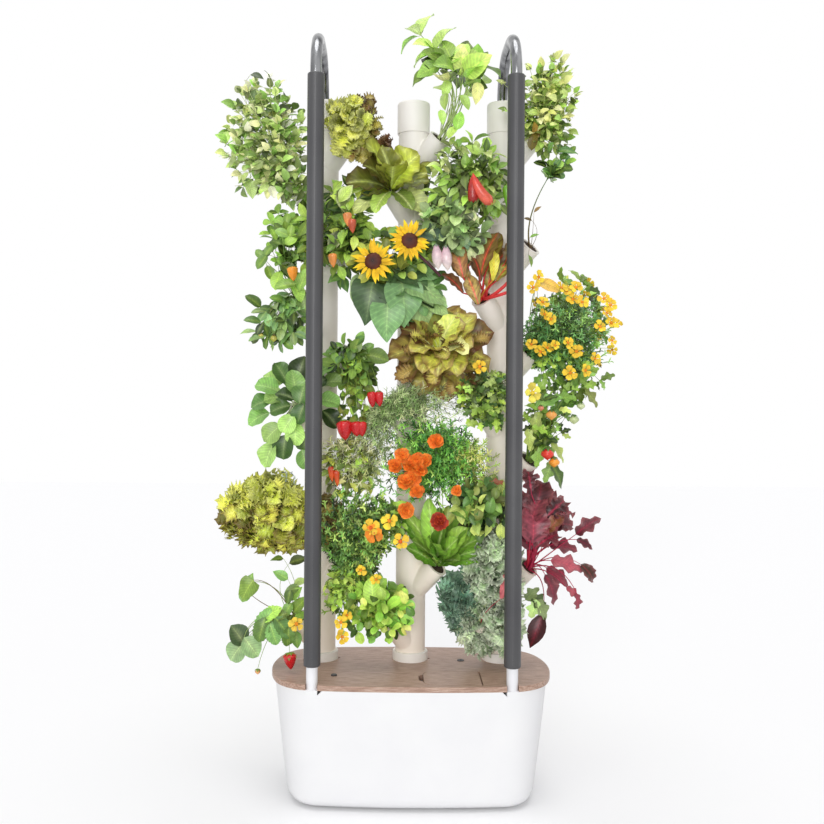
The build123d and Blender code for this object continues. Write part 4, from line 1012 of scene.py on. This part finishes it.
def tomato(plant):
    shades = (DEEP, srgb(98, 136, 72), GRASS, srgb(150, 158, 88))
    spots = ((87, -30, 166, 54, 110), (44, -56, 133, 58, 55), (81, -40, 142, 50, 80),
             (140, -30, 142, 50, 130), (20, -50, 120, 48, 300), (16, -56, 84, 46, 200),
             (4, -50, 44, 46, 170), (38, -60, 46, 50, 60), (70, -50, 20, 50, 130),
             (70, -54, -34, 56, 150), (44, -50, -26, 46, 200), (20, -40, 6, 44, 190),
             (100, -20, 172, 44, 60), (60, -20, 110, 46, 20), (24, 0, 90, 50, 30), (90, 10, 130, 50, 70),
             (50, 10, 20, 48, 140), (30, -60, 70, 40, 100))
    leaves(plant, spots, LOBED_LEAF, 0.6, shades, GRASS, rib=FRESH)
    bush(plant, (34, -24, 90), (46, 40, 62), 18, LOBED_LEAF, 32, 0.62, shades, GRASS, pairs=2, rib=FRESH)
    fruits = ((42, -84, 14, 14, srgb(224, 58, 42)), (57, -80, -4, 12, srgb(242, 158, 52)),
              (50, -70, 100, 12, srgb(240, 168, 84)), (27, -72, 115, 7, srgb(226, 140, 110)),
              (115, -56, 120, 9, srgb(206, 218, 168)), (100, -58, 90, 11, srgb(200, 214, 158)))
    for dx, dy, dz, radius, tint in fruits:
        fruit(plant, plant.at(dx, dy, dz + radius), -UP, radius * 1.9, ball(radius), tint, sepals=DEEP)
    blossoms(plant, ((8, 148),), -84, 40, srgb(250, 232, 104), YELLOW)


def kale(plant):
    pale = (srgb(160, 180, 142), srgb(124, 148, 108), srgb(84, 110, 76))
    edge = srgb(224, 232, 210)
    frills(plant, (34, -36, 118), (62, 46, 86), 130, 38, 1.0, CURLED_LEAF, pale, margin=edge)
    frills(plant, (56, -38, -6), (38, 44, 74), 80, 36, 1.0, CURLED_LEAF, pale, margin=edge)
    frills(plant, (4, -10, -4), (60, 20, 80), 110, 36, 1.0, CURLED_LEAF, pale, margin=edge)
    blue = (srgb(104, 138, 118), srgb(78, 112, 94))
    frills(plant, (-46, -8, 48), (44, 20, 78), 90, 34, 1.0, CURLED_LEAF, blue, margin=srgb(136, 164, 140))
    leaves(plant, ((56, -78, 80, 60, 10),), ROMAINE_LEAF, 0.4, (srgb(176, 90, 96),), MAGENTA,
           rib=srgb(206, 120, 130))
    side = ((128, -36, 46, 44, 110), (138, -40, 26, 44, 140), (116, -40, 26, 40, 200),
            (112, -44, 62, 36, 40))
    leaves(plant, side, LOBED_LEAF, 0.8, (srgb(158, 190, 116), srgb(184, 206, 140)), STEM_GREEN, 1.6)


def beet(plant):
    dark = (srgb(112, 48, 60), srgb(142, 72, 80), srgb(84, 36, 46))
    rim = srgb(150, 84, 90)
    spots = ((5, -44, 188, 50, 350), (27, -40, 160, 64, 15), (59, -44, 130, 64, 40), (16, -64, 92, 76, 5),
             (44, -40, 120, 66, 20), (-14, -40, 140, 56, 340), (-10, -56, 100, 56, 330),
             (30, 0, 150, 66, 20), (66, 6, 120, 60, 50), (74, -40, 100, 50, 60), (40, -60, 64, 56, 40),
             (14, -50, 132, 60, 0), (40, -54, 94, 60, 30), (2, -50, 64, 50, 345))
    leaves(plant, spots[::2], OAK_LEAF, 0.84, dark, MAGENTA, 2.6, rib=MAGENTA, margin=rim, heavy=True)
    leaves(plant, spots[1::2], BROAD_LEAF, 0.8, dark, MAGENTA, 2.6, rib=MAGENTA, margin=rim,
           mottle=srgb(70, 30, 40))
    rust = (srgb(132, 86, 50),)
    leaves(plant, ((58, -60, 100, 50, 30), (139, -40, -11, 48, 128)), BROAD_LEAF, 0.56, rust, MAGENTA,
           rib=MAGENTA, margin=rim)
    side = ((130, -40, 95, 60, 35), (128, -44, 54, 38, 100), (91, -50, 9, 70, 100),
            (59, -56, -49, 66, 150), (102, -44, -54, 34, 120), (113, -44, -77, 34, 165),
            (80, -6, 50, 60, 80), (70, 10, -20, 60, 120))
    leaves(plant, side, LOBED_LEAF, 0.62, dark, MAGENTA, 1.7, rib=MAGENTA, margin=rim)
    leaves(plant, ((20, -50, -140, 76, 200),), LONG_LEAF, 0.46, (srgb(110, 40, 48),), MAGENTA, 1.6,
           rib=MAGENTA)
    for tip in ((-4, -52, 70), (6, -56, 60), (16, -54, 76)):
        stalk(plant, curve(plant.mouth, plant.at(2, -40, 30), plant.at(*tip), 8), 3.0 * MM,
              srgb(206, 44, 62), MAGENTA, 6)


def strawberry(plant):
    shades = (DEEP, GRASS, srgb(104, 144, 82), srgb(150, 170, 104))
    spots = ((-114, -30, 62, 50, 210), (-108, -26, 82, 36, 10))
    leaves(plant, spots, HEART_LEAF, 0.8, (GRASS, DEEP), BROWN_STEM, rib=LIME)
    spots = ((-73, -50, -6, 56, 20), (-80, -54, -24, 50, 200), (-60, -46, 14, 46, 40),
             (-30, -62, -16, 50, 130), (-40, -50, 10, 40, 60), (-52, -56, -34, 46, 160),
             (-20, -60, -40, 40, 190))
    leaves(plant, spots, TOOTHED_LEAF, 0.7, shades, STEM_GREEN, rib=LIME)
    spots = ((-134, -46, -70, 46, 215), (-128, -46, -34, 46, 335), (-100, -50, -60, 46, 130))
    leaves(plant, spots, ROUND_LEAF, 0.94, (srgb(112, 140, 96), srgb(126, 152, 108)), STEM_GREEN,
           turn=0.1, rib=CREAM_GREEN)
    spots = ((-46, -30, 134, 26, 275), (0, -34, 132, 38, 65), (-37, -34, 98, 34, 310),
             (-14, -40, 66, 34, 260), (-4, -44, 58, 34, 30), (-20, -46, 48, 32, 200),
             (4, -44, 34, 44, 35), (-2, -40, -44, 36, 170), (6, -30, 84, 34, 60), (-24, -44, 20, 36, 220),
             (10, -40, 10, 36, 60))
    leaves(plant, spots, SMALL_LEAF, 0.6, shades, STEM_GREEN, 0.9, rib=LIME)
    fruit(plant, plant.at(-17, -72, -72), HANGING, 36, cone_fruit(15, 12, 2.0), RED, srgb(196, 22, 34),
          sepals=GRASS, sepal_size=1.5)
    fruit(plant, plant.at(-86, -50, -108), -UP, 12, ball(6), srgb(236, 170, 110), sepals=GRASS,
          sepal_size=1.6)
    blossoms(plant, ((-2, -9),), -80, 34, srgb(250, 220, 84), ORANGE)
    behind = ((-114, 16, 60, 42, 210), (-128, 14, -34, 38, 335), (-134, 12, -70, 38, 215),
              (-100, 14, -60, 38, 130), (-73, 18, -6, 46, 20), (-80, 16, -24, 42, 200),
              (-58, 20, 12, 38, 40), (-40, 20, 8, 34, 60), (-24, 20, 18, 32, 220))
    leaves(plant, behind, ROUND_LEAF, 0.7, shades, STEM_GREEN, rib=LIME)


GROWERS = {
    "oregano_left_outer_1": oregano,
    "oak_lettuce_left_inner_1": oak_lettuce,
    "ground_cherry_left_outer_2": ground_cherry,
    "orange_pepper_left_inner_2": orange_pepper,
    "pak_choi_left_outer_3": pak_choi,
    "strawberry_left_inner_3": red_pepper,
    "curly_lettuce_left_outer_4": curly_lettuce,
    "chili_left_inner_4": chili,
    "strawberry_left_outer_5": strawberry,
    "marigold_left_inner_5": dense_marigold,
    "romaine_centre_left_1": romaine_bronze,
    "basil_centre_right_1": basil,
    "sunflower_centre_left_2": sunflowers,
    "eggplant_centre_right_2": eggplant,
    "dill_centre_left_3": dill,
    "red_lettuce_centre_right_3": red_lettuce,
    "viola_centre_left_4": viola,
    "marigold_centre_right_4": orange_marigold,
    "lamb_lettuce_centre_left_5": lamb_lettuce,
    "romaine_centre_right_5": romaine_green,
    "chili_right_inner_1": chili_right,
    "mint_right_outer_1": mint,
    "chard_right_inner_2": chard,
    "thyme_right_outer_2": thyme,
    "parsley_right_inner_3": parsley,
    "signet_marigold_right_outer_3": signet_marigold,
    "spinach_right_inner_4": spinach,
    "tomato_right_outer_4": tomato,
    "kale_right_inner_5": kale,
    "beet_right_outer_5": beet,
}

# Materials


def new_material(name, roughness, metallic=0.0, specular=0.5):
    """Material with its shader and the constant values set on the shader."""
    material = bpy.data.materials.new(name)
    material.use_nodes = True
    shader = material.node_tree.nodes["Principled BSDF"]
    shader.inputs["Roughness"].default_value = roughness
    shader.inputs["Metallic"].default_value = metallic
    shader.inputs["Specular IOR Level"].default_value = specular
    return material, shader


def add_node(owner, kind, **values):
    """Node of a material or world, with its settings and the default values of its inputs."""
    node = owner.node_tree.nodes.new(kind)
    for name, value in values.items():
        if hasattr(node, name):
            setattr(node, name, value)
        else:
            node.inputs[name.replace("_", " ")].default_value = value
    return node


def join(owner, source, target):
    owner.node_tree.links.new(source, target)


def noise(material, scale, detail=3.0, stretch=(1, 1, 1)):
    """Noise over places in the scene, in metres."""
    place = add_node(material, "ShaderNodeNewGeometry")
    mapping = add_node(material, "ShaderNodeMapping")
    mapping.inputs["Scale"].default_value = stretch
    texture = add_node(material, "ShaderNodeTexNoise", Scale=scale, Detail=detail)
    join(material, place.outputs["Position"], mapping.inputs["Vector"])
    join(material, mapping.outputs["Vector"], texture.inputs["Vector"])
    return texture.outputs["Fac"]


def ramp(material, factor, *stops):
    """Colours along a factor."""
    node = add_node(material, "ShaderNodeValToRGB")
    band = node.color_ramp
    for extra in range(len(stops) - 2):
        band.elements.new(0.5)
    for element, (place, colour) in zip(band.elements, stops):
        element.position = place
        element.color = (*colour, 1)
    join(material, factor, node.inputs["Fac"])
    return node.outputs["Color"]


def bump(material, shader, height, strength, distance):
    node = add_node(material, "ShaderNodeBump", Strength=strength, Distance=distance)
    join(material, height, node.inputs["Height"])
    join(material, node.outputs["Normal"], shader.inputs["Normal"])


def vary_roughness(material, shader, factor, low, high):
    node = add_node(material, "ShaderNodeMapRange", To_Min=low, To_Max=high)
    join(material, factor, node.inputs["Value"])
    join(material, node.outputs["Result"], shader.inputs["Roughness"])


def moulded(name, colour, deep, roughness, grain=900.0):
    """Moulded plastic or paint: a faint cloud in its colour and a fine grain."""
    material, shader = new_material(name, roughness)
    cloud = noise(material, 9.0)
    join(material, ramp(material, cloud, (0.3, deep), (0.7, colour)), shader.inputs["Base Color"])
    fine = noise(material, grain, 2.0)
    vary_roughness(material, shader, fine, roughness - 0.06, roughness + 0.08)
    bump(material, shader, fine, 0.06, 0.0004)
    return material


def multiplied(material, first, second, share=1.0):
    """One colour darkened or lightened by another."""
    blend = add_node(material, "ShaderNodeMix", data_type="RGBA", blend_type="MULTIPLY")
    blend.inputs["Factor"].default_value = share
    join(material, first, blend.inputs["A"])
    join(material, second, blend.inputs["B"])
    return blend.outputs["Result"]


# Heights in metres between which the columns change from warm to pale
COLUMN_SHADING = (0.25, 1.5)

# Side veins of a leaf along its length, and how far they run back to the midrib
VEIN_PAIRS = 9.0
VEIN_SLANT = -2.0


def column_plastic():
    """Cream plastic that is warmer towards the foot of a column."""
    material, shader = new_material("column_cream", 0.5)
    place = add_node(material, "ShaderNodeNewGeometry")
    split = add_node(material, "ShaderNodeSeparateXYZ")
    height = add_node(material, "ShaderNodeMapRange", From_Min=COLUMN_SHADING[0],
                      From_Max=COLUMN_SHADING[1])
    join(material, place.outputs["Position"], split.inputs["Vector"])
    join(material, split.outputs["Z"], height.inputs["Value"])
    tone = ramp(material, height.outputs["Result"], (0.0, srgb(254, 243, 230)),
                (0.45, srgb(252, 243, 233)), (1.0, srgb(252, 249, 245)))
    cloud = ramp(material, noise(material, 14.0), (0.3, (0.96, 0.945, 0.93)), (0.7, (1, 1, 1)))
    join(material, multiplied(material, tone, cloud), shader.inputs["Base Color"])
    fine = noise(material, 700.0, 2.0)
    vary_roughness(material, shader, fine, 0.42, 0.58)
    bump(material, shader, fine, 0.08, 0.0004)
    return material


def walnut():
    """Wood with its grain along the tank."""
    material, shader = new_material("walnut", 0.42)
    grain = noise(material, 26.0, 6.0, (1.2, 14, 14))
    tone = ramp(material, grain, (0.28, srgb(142, 109, 91)), (0.5, srgb(180, 148, 130)),
                (0.72, srgb(206, 179, 163)))
    pores = noise(material, 140.0, 3.0, (1.5, 22, 22))
    dark = ramp(material, pores, (0.36, (0.62, 0.57, 0.53)), (0.5, (1, 1, 1)))
    join(material, multiplied(material, tone, dark, 0.7), shader.inputs["Base Color"])
    vary_roughness(material, shader, grain, 0.34, 0.52)
    bump(material, shader, pores, 0.12, 0.0006)
    return material


def metal(name, colour, deep, roughness, stretch):
    """Metal with streaks along one direction: fine drawing lines on plain steel; on the polished tube, dark
    streaks that are painted reflections.
    """
    material, shader = new_material(name, roughness, 1.0)
    # Streaks between the deep colour and the colour: drawing lines on steel, painted reflections on the
    # polished tube.
    lines = noise(material, 60.0, 4.0, stretch)
    join(material, ramp(material, lines, (0.3, deep), (0.7, colour)), shader.inputs["Base Color"])
    vary_roughness(material, shader, lines, roughness - 0.05, roughness + 0.1)
    bump(material, shader, lines, 0.04, 0.0003)
    return material


def grown(name, roughness, veins=0.0, speckle=0.0, coat=0.0):
    """Plant tissue: the colour each point was given, with veins over it and noise patches: painted light
    and shade on leaves, stems, fruit and petals, real specks on the soil.
    """
    material, shader = new_material(name, roughness, 0.0, 0.4)
    shader.inputs["Coat Weight"].default_value = coat
    shader.inputs["Coat Roughness"].default_value = 0.15
    tint = add_node(material, "ShaderNodeAttribute", attribute_name="tint")
    place = add_node(material, "ShaderNodeAttribute", attribute_name="leaf_place")
    split = add_node(material, "ShaderNodeSeparateXYZ")
    join(material, place.outputs["Vector"], split.inputs["Vector"])
    phase = add_node(material, "ShaderNodeMath", operation="MULTIPLY_ADD")
    phase.inputs[1].default_value = VEIN_PAIRS
    slant = add_node(material, "ShaderNodeMath", operation="MULTIPLY")
    slant.inputs[1].default_value = VEIN_SLANT
    join(material, split.outputs["X"], phase.inputs[0])
    join(material, split.outputs["Y"], slant.inputs[0])
    join(material, slant.outputs["Value"], phase.inputs[2])
    wave = add_node(material, "ShaderNodeMath", operation="PINGPONG")
    wave.inputs[1].default_value = 0.5
    join(material, phase.outputs["Value"], wave.inputs[0])
    lines = ramp(material, wave.outputs["Value"], (0.0, (1.0 + veins, 1.0 + veins, 1.0 + 0.6 * veins)),
                 (0.1, (1, 1, 1)), (0.5, (1 - 0.3 * veins, 1 - 0.3 * veins, 1 - 0.3 * veins)))
    midrib = ramp(material, split.outputs["Y"], (0.0,
                                                 (1.0 + 1.5 * veins, 1.0 + 1.5 * veins, 1.0 + veins)),
                  (0.07, (1, 1, 1)))
    # Noise patches that darken the colour and lighten it beyond its own: painted blotchy light and shade
    # with painted highlights, except on the soil, where they are its real specks.
    low = 0.8 - speckle
    specks_and_painted_light = ramp(material, noise(material, 220.0 if speckle else 90.0), (0.3, (low, low, low)),
                   (0.7, (1.18, 1.18, 1.12)))
    colour = tint.outputs["Color"]
    for layer in (lines, midrib, specks_and_painted_light):
        colour = multiplied(material, colour, layer)
    join(material, colour, shader.inputs["Base Color"])
    fine = noise(material, 400.0, 2.0)
    vary_roughness(material, shader, fine, roughness - 0.08, roughness + 0.1)
    bump(material, shader, wave.outputs["Value"] if veins else fine, 0.25, 0.0006)
    return material


TISSUES = [
    grown("leaf_tissue", 0.34, veins=0.28),
    grown("stem_tissue", 0.5),
    grown("fruit_skin", 0.25, coat=0.35),
    grown("petal_tissue", 0.6, veins=0.12),
    grown("soil", 0.9, speckle=0.4),
]

TANK_WHITE = moulded("tank_white", srgb(241, 241, 242), srgb(237, 237, 239), 0.34)
COLUMN_CREAM = column_plastic()
WALNUT = walnut()
# Polished tube: the dark streaks of its deep colour along its length are painted reflections.
TUBE_METAL = metal("polished_tube", srgb(160, 161, 163), srgb(70, 71, 74), 0.16, (1, 1, 0.04))
STEEL = metal("plain_steel", srgb(190, 190, 192), srgb(150, 150, 154), 0.35, (1, 1, 0.1))
BAR_GREY = moulded("bar_grey", srgb(76, 76, 78), srgb(66, 66, 69), 0.42)
COLLAR_WHITE = moulded("collar_white", srgb(250, 246, 240), srgb(244, 239, 232), 0.45)
POST_WHITE = moulded("post_white", srgb(240, 240, 243), srgb(230, 230, 234), 0.3)
LENS_WHITE = moulded("lens_white", srgb(244, 244, 238), srgb(232, 232, 226), 0.25)
DARK_PLASTIC = moulded("dark_plastic", srgb(62, 62, 64), srgb(48, 48, 50), 0.45)
RUBBER = moulded("rubber", srgb(46, 46, 46), srgb(34, 34, 34), 0.75)
HOSE = moulded("hose", srgb(226, 230, 230), srgb(206, 212, 212), 0.3)

NODE_LOOKS = {
    "tank": TANK_WHITE, "tank_feet": RUBBER, "lid": WALNUT, "fill_hatch": WALNUT,
              "hatch_hinge_pin": STEEL,
    "switch_button": DARK_PLASTIC, "control_box": DARK_PLASTIC, "power_inlet": DARK_PLASTIC,
    "column_collars": COLLAR_WHITE, "column_left": COLUMN_CREAM, "column_centre": COLUMN_CREAM,
    "column_right": COLUMN_CREAM, "cap_left": COLUMN_CREAM, "cap_centre": COLUMN_CREAM,
              "cap_right": COLUMN_CREAM,
    "drip_heads": DARK_PLASTIC, "riser_tubes": HOSE, "water_manifold": DARK_PLASTIC,
              "pump_housing": DARK_PLASTIC,
    "pump_impeller": DARK_PLASTIC, "pump_strainer": DARK_PLASTIC, "grow_cups": COLUMN_CREAM,
              "pole_pins": STEEL,
    "light_arches": TUBE_METAL, "lower_posts": POST_WHITE, "light_housings": BAR_GREY,
              "led_boards": LENS_WHITE,
    "light_lenses": LENS_WHITE, "light_end_caps": BAR_GREY,
}
for node_name, look in NODE_LOOKS.items():
    node_mesh = frame["nodes"][node_name].data
    node_mesh.materials.clear()
    node_mesh.materials.append(look)

# Plants in their ports

joint_of = {joint["child"]: joint for joint in frame["joints"]}
collar_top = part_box("column_collars")[1].z


def port_mouth(name, out):
    """Middle of the mouth of the port that holds a plant."""
    column, level = name.split("_")[-3], int(name.split("_")[-1])
    low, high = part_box(f"cap_{column}")
    axis = (low + high) / 2
    pitch = (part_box(f"column_{column}")[1].z - collar_top) / SEGMENT_COUNT
    flat = Vector((out.x, out.y, 0)).normalized() * PORT_REACH
    height = PORT_HEIGHT["left" if out.x < 0 else "right"]
    return Vector((axis.x + flat.x, axis.y + flat.y,
                   collar_top + (SEGMENT_COUNT - level) * pitch + height))


def plant_object(name, plant):
    """Blender object of a finished plant."""
    mesh = bpy.data.meshes.new(name + "_look")
    mesh.from_pydata([point[:] for point in plant.points], [], plant.faces)
    for tissue in TISSUES:
        mesh.materials.append(tissue)
    mesh.polygons.foreach_set("material_index", plant.kinds)
    mesh.polygons.foreach_set("use_smooth", [True] * len(plant.faces))
    tint = mesh.attributes.new("tint", "FLOAT_COLOR", "POINT")
    tint.data.foreach_set("color", [value for colour in plant.tints for value in (*colour, 1.0)])
    place = mesh.attributes.new("leaf_place", "FLOAT_VECTOR", "POINT")
    place.data.foreach_set("vector", [value for spot in plant.places for value in spot])
    mesh.validate()
    grown_plant = bpy.data.objects.new(name + "_look", mesh)
    bpy.context.scene.collection.objects.link(grown_plant)
    return grown_plant


for seed, (name, grow) in enumerate(GROWERS.items()):
    out = Vector(joint_of[name]["axis"])
    plant = Sprout(port_mouth(name, out), out, 100 + seed)
    plug(plant)
    grow(plant)
    piece = plant_object(name, plant)
    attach(piece, name)
    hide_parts(name)

# Stage: a pale floor that keeps the shadow, white surroundings, a soft key light and a camera


def pale_floor():
    """Floor that reads as white and keeps the shadow."""
    material = bpy.data.materials.new("stage_floor")
    material.use_nodes = True
    material.node_tree.nodes.clear()
    output = add_node(material, "ShaderNodeOutputMaterial")
    diffuse = add_node(material, "ShaderNodeBsdfDiffuse", Color=(0.86, 0.86, 0.87, 1))
    glow = add_node(material, "ShaderNodeEmission")
    total = add_node(material, "ShaderNodeAddShader")
    path = add_node(material, "ShaderNodeLightPath")
    level = add_node(material, "ShaderNodeMath", operation="MULTIPLY")
    level.inputs[1].default_value = FLOOR_GLOW
    join(material, path.outputs["Is Camera Ray"], level.inputs[0])
    join(material, level.outputs["Value"], glow.inputs["Strength"])
    join(material, diffuse.outputs["BSDF"], total.inputs[0])
    join(material, glow.outputs["Emission"], total.inputs[1])
    join(material, total.outputs["Shader"], output.inputs["Surface"])
    return material


FLOOR_SIZE = 12.0
FLOOR_GLOW = 0.1
WORLD_LIGHT = 0.48
# Sun lamps: strength, spread and turn in degrees; one in front of the object and one above it
LAMPS = {
    "key_light": (1.32, 32, (80, 0, -8)),
    "top_light": (1.5, 44, (4, 0, 0)),
}

bpy.ops.mesh.primitive_plane_add(size=FLOOR_SIZE, location=(0, 0, 0))
floor = bpy.context.object
floor.name = "stage_floor"
floor.data.materials.append(pale_floor())
floor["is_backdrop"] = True

world = bpy.data.worlds.new("studio")
bpy.context.scene.world = world
world.use_nodes = True
world.node_tree.nodes.clear()
surface = add_node(world, "ShaderNodeOutputWorld")
white = (1, 1, 1, 1)
seen = add_node(world, "ShaderNodeBackground", Strength=1.0, Color=white)
lighting = add_node(world, "ShaderNodeBackground", Strength=WORLD_LIGHT, Color=white)
choose = add_node(world, "ShaderNodeMixShader")
rays = add_node(world, "ShaderNodeLightPath")
white_for = rays.outputs["Is Camera Ray"]
for ray in ("Is Glossy Ray", "Is Transmission Ray"):
    either = add_node(world, "ShaderNodeMath", operation="MAXIMUM")
    join(world, white_for, either.inputs[0])
    join(world, rays.outputs[ray], either.inputs[1])
    white_for = either.outputs["Value"]
join(world, white_for, choose.inputs["Fac"])
join(world, lighting.outputs["Background"], choose.inputs[1])
join(world, seen.outputs["Background"], choose.inputs[2])
join(world, choose.outputs["Shader"], surface.inputs["Surface"])

for lamp_name, (strength, spread, turn) in LAMPS.items():
    lamp = bpy.data.objects.new(lamp_name, bpy.data.lights.new(lamp_name, "SUN"))
    lamp.data.energy = strength
    lamp.data.angle = math.radians(spread)
    lamp.rotation_euler = [math.radians(angle) for angle in turn]
    bpy.context.scene.collection.objects.link(lamp)

camera = bpy.data.objects.new("camera", bpy.data.cameras.new("camera"))
camera.location = CAMERA_PLACE
camera.rotation_euler = (math.radians(90), 0, 0)
camera.rotation_euler.rotate_axis("Z", math.radians(CAMERA_ROLL))
camera.data.lens = CAMERA_LENS
camera.data.sensor_width = 36
camera.data.shift_x = CAMERA_SHIFT_X
camera.data.shift_y = CAMERA_SHIFT_Y
bpy.context.scene.collection.objects.link(camera)
bpy.context.scene.camera = camera
bpy.context.scene.view_settings.view_transform = "Standard"

boxes = {"cad": cad_box, "visual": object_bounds()}
{name: [list(corner) for corner in box] for name, box in boxes.items()}
